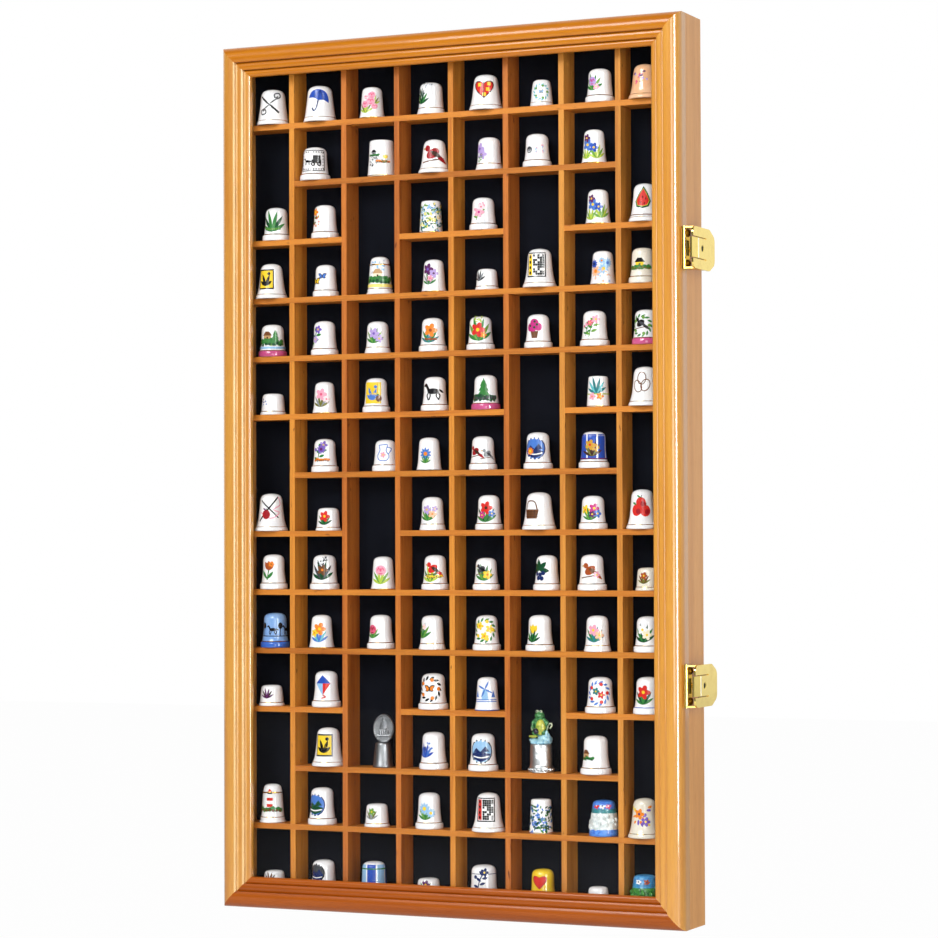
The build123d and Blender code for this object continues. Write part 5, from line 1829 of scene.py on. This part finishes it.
@dataclass
class DoorLooks:
    """Finishes of the moulded door, its beads and its glass."""

    half_width: float = 174.0  # this and the two heights are the door's edges
    top: float = 26.0
    bottom: float = -584.0
    edge_round: float = 0.3
    # Lines of painted light along the moulding's steps: painted shade under the top rail's steps, painted
    # highlights on the left stile's risers.
    painted_step_lines: dict[str, tuple[tuple[float, float, float], ...]] = field(default_factory=lambda: {
        "top": ((11.5, 0.7, 0.6), (16.9, 0.6, 0.5)), "left": ((11.7, 1.7, 0.62), (17.0, 1.7, 0.6))})
    coats: dict[str, float] = field(
        default_factory=lambda: {"left": 0.7, "right": 0.8, "top": 0.25, "bottom": 0.1})

    def build(self, palette: Palette) -> None:
        """Dresses every node of the door."""
        tones = {
            "left": (paint(200, 142, 60), paint(176, 104, 32), Run.ALONG_Z),
            "right": (paint(212, 150, 60), paint(186, 112, 30), Run.ALONG_Z),
            "top": (paint(188, 114, 4), paint(162, 82, 2), Run.ALONG_X),
            "bottom": (paint(164, 80, 4), paint(132, 56, 2), Run.ALONG_X),
        }
        for number, (side, (pale, dark, run)) in enumerate(tones.items()):
            # The left stile's step lines are pale, a painted highlight; the top rail's keep the dark painted
            # shade.
            wood = LacqueredWood(pale, dark, run, 200.0 + number * 11.3, roughness=0.3, coat=self.coats[side],
                                 painted_step_lines=self.painted_step_lines.get(side, ()),
                                 painted_step_colour=paint(255, 226, 170) if side == "left" else LacqueredWood.painted_step_colour)
            dress(palette.get(f"wood_door_{side}", wood), f"door_{side}")
            if side != "right":
                soften(f"door_{side}", self.edge_round)
            bead = LacqueredWood(pale, dark, run, 260.0 + number * 9.1, roughness=0.36)
            dress(palette.get(f"wood_bead_{side}", bead), f"glazing_bead_{side}")
        dress(palette.get("clear_glass", ClearGlass()), "door_glass")
        log.info("door dressed")


@dataclass(frozen=True)
class SlottedHead:
    """A domed screw head with a straight slot cut through its rim."""

    radius: float
    crown: float
    slot: float  # width
    floor: float  # height of the slot's floor over the seat
    rim: float = 0.25  # height of the upright rim
    rings: int = 7
    steps: int = 14

    def height(self, reach: float) -> float:
        """The dome's height at a distance from its middle."""
        share = min(1.0, reach / self.radius)
        return self.rim + (self.crown - self.rim) * sqrt(max(0.0, 1 - share * share * 0.98))

    def add(self, shape: Shape, material: Material, at: Vector, out: Vector, turn: float) -> None:
        """Adds the head to a piece.

        Args:
            shape: The piece that takes it.
            material: Its metal.
            at: The middle of its seat.
            out: The way that it faces.
            turn: How far its slot is turned, in degrees.
        """
        basis = out.to_track_quat("Z", "Y").to_matrix() @ Matrix.Rotation(radians(turn), 3, "Z")
        half = self.slot / 2

        def put(x: float, y: float, z: float) -> Vector:
            """A point of the head in the part's frame."""
            return at + basis @ Vector((x, y, z))

        end = sqrt(self.radius ** 2 - half ** 2)
        for side in (1, -1):
            rows, wall_top, wall_low = [], [], []
            for ring in range(self.rings + 1):
                reach = self.radius - (self.radius - half) * ring / self.rings
                spread = acos(min(1.0, half / reach))
                arcs = [-spread + 2 * spread * step / self.steps for step in range(self.steps + 1)]
                if not ring:
                    rows.append([put(side * reach * cos(a), side * reach * sin(a), 0.0) for a in arcs])
                rows.append([put(side * reach * cos(a), side * reach * sin(a), self.height(reach))
                             for a in arcs])
            shape.grid(rows, material)
            for step in range(2 * self.rings + 1):
                along = end * (step / self.rings - 1)
                reach = hypot(along, half)
                wall_top.append(put(side * half, side * along, self.height(reach)))
                wall_low.append(put(side * half, side * along, self.floor))
            shape.grid([wall_top, wall_low], material, smooth=False)
            shape.grid([[put(-side * half, -side * end, 0.0), put(side * half, -side * end, 0.0)],
                        [put(-side * half, -side * end, self.floor), put(side * half, -side * end, self.floor)]],
                       material, smooth=False)
        shape.grid([[put(-half, -end, self.floor), put(half, -end, self.floor)],
                    [put(-half, end, self.floor), put(half, end, self.floor)]], material, smooth=False)


@dataclass
class Fittings:
    """Hinges, latches and hanger plates, with their screws."""

    middle: float = -279.0
    latch_offsets: tuple[float, float] = (147.0, -143.5)
    hinge_offset: float = 205.0
    seam: float = 29.0  # depth at which the door meets the case
    side: float = 174.0  # from the middle to the side of the case
    base_screw_offset: float = 10.1
    base_screw_depth: float = 32.2
    base_thickness: float = 2.4
    hinge_screw_x: float = -169.6
    hinge_screw_offset: float = 12.0
    hanger_x: float = 120.0
    hanger_screw_heights: tuple[float, float] = (-11.0, 15.6)
    plate_back: float = 0.0
    sheet_round: float = 0.3
    lever_stand: float = 8.6  # from the side of the case to the inner face of a lever
    lever_thickness: float = 1.2
    slit_offset: float = 7.1
    slit_depths: Point = (17.2, 34.0)
    slit_half: float = 0.45
    # Where the pale strip of painted highlight lies along a lever's crease.
    crease_highlight_depths: Point = (31.4, 33.4)
    crease_highlight_half: float = 6.6
    # Where the dark sheets of painted shade lie in the windows of the latches' bases.
    window_shade_depths: Point = (30.7, 36.1)
    window_shade_half: float = 5.0
    dimple_depth: float = 24.5

    def build(self, palette: Palette) -> None:
        """Dresses the metal nodes and adds the screw heads."""
        brass = palette.get("polished_brass", BRASS)
        steel = palette.get("plated_steel", STEEL)
        for which in ("upper", "lower"):
            dress(brass, f"latch_{which}_lever", f"latch_{which}_base", f"latch_{which}_pin",
                  f"latch_{which}_keeper_stud", f"hinge_{which}_carcase_leaf", f"hinge_{which}_door_leaf",
                  f"hinge_{which}_pin")
            for part in (f"latch_{which}_lever", f"latch_{which}_base"):
                soften(part, self.sheet_round)
        dress(steel, "hanger_plates")
        self.latch_screws(palette.get("browned_brass", BROWNED_BRASS_AND_SHADE))
        self.latch_springs(palette.get("blued_steel", PAINTED_SHADE_METAL))
        for which, offset in zip(("upper", "lower"), self.latch_offsets):
            self.lever_marks(palette, which, self.middle + offset)
        self.hinge_screws(brass)
        self.hanger_screws(steel)
        log.info("fittings dressed")

    def latch_screws(self, brass: Material) -> None:
        """The domed screws that hold the latches' bases to the edge of the door."""
        shape = Shape()
        head = SlottedHead(2.65, 1.9, 0.6, 0.8)
        outward = Vector((1, 0, 0)).to_track_quat("Z", "Y").to_matrix()
        chance = random.Random(5)
        for offset in self.latch_offsets:
            for side in (self.base_screw_offset, -self.base_screw_offset):
                at = Vector((self.side + self.base_thickness, -self.base_screw_depth, self.middle + offset + side))
                head.add(shape, brass, at, Vector((1, 0, 0)), chance.uniform(0, 180))
                shape.turned([(0.0, -7.8), (0.9, -6.6), (1.2, -1.0), (1.2, 0.3)], [brass] * 3, at, steps=16,
                             turn=outward)
        heads = shape.piece("latch_screw_heads", "door")
        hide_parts("latch_screws")

    def latch_springs(self, steel: Material) -> None:
        """Dark sheets of painted shade in the windows of the latches' bases."""
        shape = Shape()
        near, far = self.window_shade_depths
        for offset in self.latch_offsets:
            middle = self.middle + offset
            # Each sheet is painted shade in the window under the lever.
            shape.box(steel, (self.side + 0.1, self.side + 0.7), (-far, -near),
                      (middle - self.window_shade_half, middle + self.window_shade_half))
        shape.piece("latch_springs", "door")

    def lever_marks(self, palette: Palette, which: str, height: float) -> None:
        """Painted light on a lever: dark sheets of painted shade behind its slits and in its dimple, and a pale
        strip of painted highlight along the crease of its tongue.
        """
        leaf, painted_light, crease_highlight = (palette.get("browned_brass", BROWNED_BRASS_AND_SHADE),
                               palette.get("blued_steel", PAINTED_SHADE_METAL), palette.get("rubbed_brass", PAINTED_HIGHLIGHT_BRASS))
        shape = Shape()
        inner, outer = self.side + self.lever_stand, self.side + self.lever_stand + self.lever_thickness
        # A dark sheet of painted shade behind each slit, for the hollow under the lever.
        near, far = self.slit_depths
        for side in (self.slit_offset, -self.slit_offset):
            middle = height + side
            shape.box(leaf, (inner - 0.2, inner + 0.3), (-far, -near),
                      (middle - self.slit_half, middle + self.slit_half))
        # A pale strip of painted highlight along the crease of the tongue.
        near, far = self.crease_highlight_depths
        shape.box(crease_highlight, (outer - 0.2, outer + 0.05), (-far, -near),
                  (height - self.crease_highlight_half, height + self.crease_highlight_half))
        # A dark lens of painted shade in the dimple.
        turn = Vector((1, 0, 0)).to_track_quat("Z", "Y").to_matrix()
        at = Vector((outer - 0.9, -self.dimple_depth, height))
        shape.turned([(0.0, -0.2), (0.9, -0.2), (1.9, 0.3), (1.9, 0.6), (0.9, 0.05), (0.0, 0.03)], [painted_light] * 5, at,
                     steps=12, turn=turn)
        shape.piece(f"latch_{which}_lever_marks", f"latch_{which}")

    def hinge_screws(self, brass: Material) -> None:
        """The flush screws in both leaves of both hinges."""
        head = SlottedHead(1.9, 0.12, 0.5, 0.03, rim=0.06, rings=4)
        for body, out, depth in (("carcase", Vector((0, -1, 0)), self.seam),
                                 ("door", Vector((0, 1, 0)), self.seam)):
            shape = Shape()
            chance = random.Random(9)
            for offset in (self.hinge_offset, -self.hinge_offset):
                for side in (self.hinge_screw_offset, -self.hinge_screw_offset):
                    at = Vector((self.hinge_screw_x, -depth, self.middle + offset + side))
                    head.add(shape, brass, at, out, chance.uniform(0, 180))
            shape.piece(f"hinge_screws_{body}", body)

    def hanger_screws(self, steel: Material) -> None:
        """The flush screws of the hanger plates."""
        shape = Shape()
        head = SlottedHead(2.3, 0.14, 0.6, 0.03, rim=0.06, rings=4)
        chance = random.Random(13)
        for x in (self.hanger_x, -self.hanger_x):
            for height in self.hanger_screw_heights:
                head.add(shape, steel, Vector((x, self.plate_back, height)), Vector((0, 1, 0)),
                         chance.uniform(0, 180))
        shape.piece("hanger_screws", "carcase")


# ---------------------------------------------------------------- studio
@dataclass(frozen=True)
class Softbox:
    """A square lamp that looks at the middle of the case."""

    name: str
    place: tuple[float, float, float]  # metres from the middle of the case
    size: float
    height: float
    watts: float
    gloss_only: bool = False  # a strip that only shows as a line in the lacquer


@dataclass
class Studio:
    """White surroundings, a pale floor, soft lamps and the camera."""

    aim: tuple[float, float, float] = (0.0, -0.022, -0.279)
    floor_drop: float = 0.30  # below the case
    floor_size: float = 14.0
    floor_glow: float = 0.975  # how much of the floor's look is plain white
    world_light: float = 0.42
    room_light: float = 0.05  # what gloss finds in front of the case
    lamps: tuple[Softbox, ...] = (
        Softbox("key", (-0.55, -2.4, 1.6), 1.4, 1.0, 60.0),
        Softbox("front", (1.3, -2.7, 0.3), 0.9, 1.3, 18.0),
        Softbox("side", (2.0, -1.35, 0.4), 0.34, 1.8, 9.0),
        Softbox("strip", (2.02, -1.36, 0.4), 0.48, 1.8, 66.0, gloss_only=True),
    )
    focal_pixels: float = 2940.8
    sensor: float = 36.0
    yaw: float = 24.643
    pitch: float = 1.441
    roll: float = -0.199
    aside: float = 0.69
    lift: float = -327.32
    distance: float = 2053.3

    def build(self) -> None:
        """Sets the light, the floor and the camera."""
        bpy.context.scene.view_settings.view_transform = "Standard"
        self.world()
        self.floor()
        for lamp in self.lamps:
            self.lamp(lamp)
        self.camera()
        log.info("studio ready")

    def lamp(self, box: Softbox) -> None:
        """Hangs one lamp."""
        light = bpy.data.lights.new("softbox_" + box.name, "AREA")
        light.shape = "RECTANGLE"
        light.size, light.size_y = box.size, box.height
        light.energy = box.watts
        thing = bpy.data.objects.new(light.name, light)
        thing.visible_diffuse = not box.gloss_only
        bpy.context.scene.collection.objects.link(thing)
        offset = Vector(box.place)
        thing.location = Vector(self.aim) + offset
        thing.rotation_mode = "QUATERNION"
        thing.rotation_quaternion = offset.to_track_quat("Z", "Y")

    def seen_white(self, bench: Bench) -> Value:
        """1 where a ray shows the surroundings themselves, to the camera or through glass."""
        path = bench.node("ShaderNodeLightPath").outputs
        return Value(bench, path["Is Camera Ray"]).most(Value(bench, path["Is Transmission Ray"]))

    def world(self) -> None:
        """A world that lights softly and shows white; gloss finds the white behind the case only."""
        world = bpy.data.worlds.new("studio_white")
        bpy.context.scene.world = world
        bench = Bench(world.name, world)
        way = bench.node("ShaderNodeSeparateXYZ", None, {0: bench.node("ShaderNodeTexCoord").outputs["Generated"]})
        glossy = Value(bench, bench.node("ShaderNodeLightPath").outputs["Is Glossy Ray"])
        behind = Value(bench, way.outputs[1]).rising(-0.15, 0.35) * (1 - self.room_light) + self.room_light
        strength = ((behind - self.world_light) * glossy + self.world_light).most(self.seen_white(bench))
        light = bench.node("ShaderNodeBackground", None, {"Color": (1.0, 1.0, 1.0),
                                                          "Strength": strength}).outputs[0]
        bench.node("ShaderNodeOutputWorld", None, {"Surface": light})

    def floor(self) -> None:
        """A plain pale floor well below the case that keeps its shadow."""
        bench = Bench("floor_white")
        matt = bench.node("ShaderNodeBsdfDiffuse", None, {"Color": (0.9, 0.9, 0.9)}).outputs[0]
        glow = bench.node("ShaderNodeEmission", None, {"Color": (1.0, 1.0, 1.0), "Strength": 1.0}).outputs[0]
        share = self.seen_white(bench) * self.floor_glow
        surface = bench.node("ShaderNodeMixShader", None, {0: share, 1: matt, 2: glow}).outputs[0]
        half = self.floor_size / 2
        low = min(CAD_BOX[0][2], CAD_BOX[1][2]) - self.floor_drop
        mesh = bpy.data.meshes.new("studio_floor")
        mesh.from_pydata([(-half, -half, low), (half, -half, low), (half, half, low), (-half, half, low)], [],
                         [(0, 1, 2, 3)])
        mesh.materials.append(bench.done(surface))
        thing = bpy.data.objects.new("studio_floor", mesh)
        bpy.context.scene.collection.objects.link(thing)

    def camera(self) -> None:
        """A long lens from the right of the front."""
        yaw, pitch, roll = (radians(angle) for angle in (self.yaw, self.pitch, self.roll))
        up = Vector((0, 0, 1))
        right = Vector((cos(yaw), sin(yaw), 0))
        ahead = Vector((-sin(yaw), cos(yaw), 0))
        place = -ahead * self.distance + right * self.aside + up * self.lift
        tilted = ahead * cos(pitch) + up * sin(pitch)
        above = up * cos(pitch) - ahead * sin(pitch)
        across = right * cos(roll) + above * sin(roll)
        over = above * cos(roll) - right * sin(roll)
        lens = bpy.data.cameras.new("camera")
        lens.sensor_width = self.sensor
        lens.lens = self.sensor * self.focal_pixels / PICTURE_SIDE
        lens.clip_start, lens.clip_end = 0.1, 60.0
        thing = bpy.data.objects.new("camera", lens)
        bpy.context.scene.collection.objects.link(thing)
        basis = Matrix((across, over, -tilted)).transposed().to_4x4()
        basis.translation = place * MM
        thing.matrix_world = basis
        bpy.context.scene.camera = thing


def main() -> None:
    """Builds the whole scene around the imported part."""
    logging.basicConfig(level=logging.INFO, format="%(message)s")
    palette = Palette()
    Studio().build()
    CaseLooks().build(palette)
    DoorLooks().build(palette)
    Fittings().build(palette)
    ThimbleCollection().build(palette)


if __name__ == "__main__":
    main()
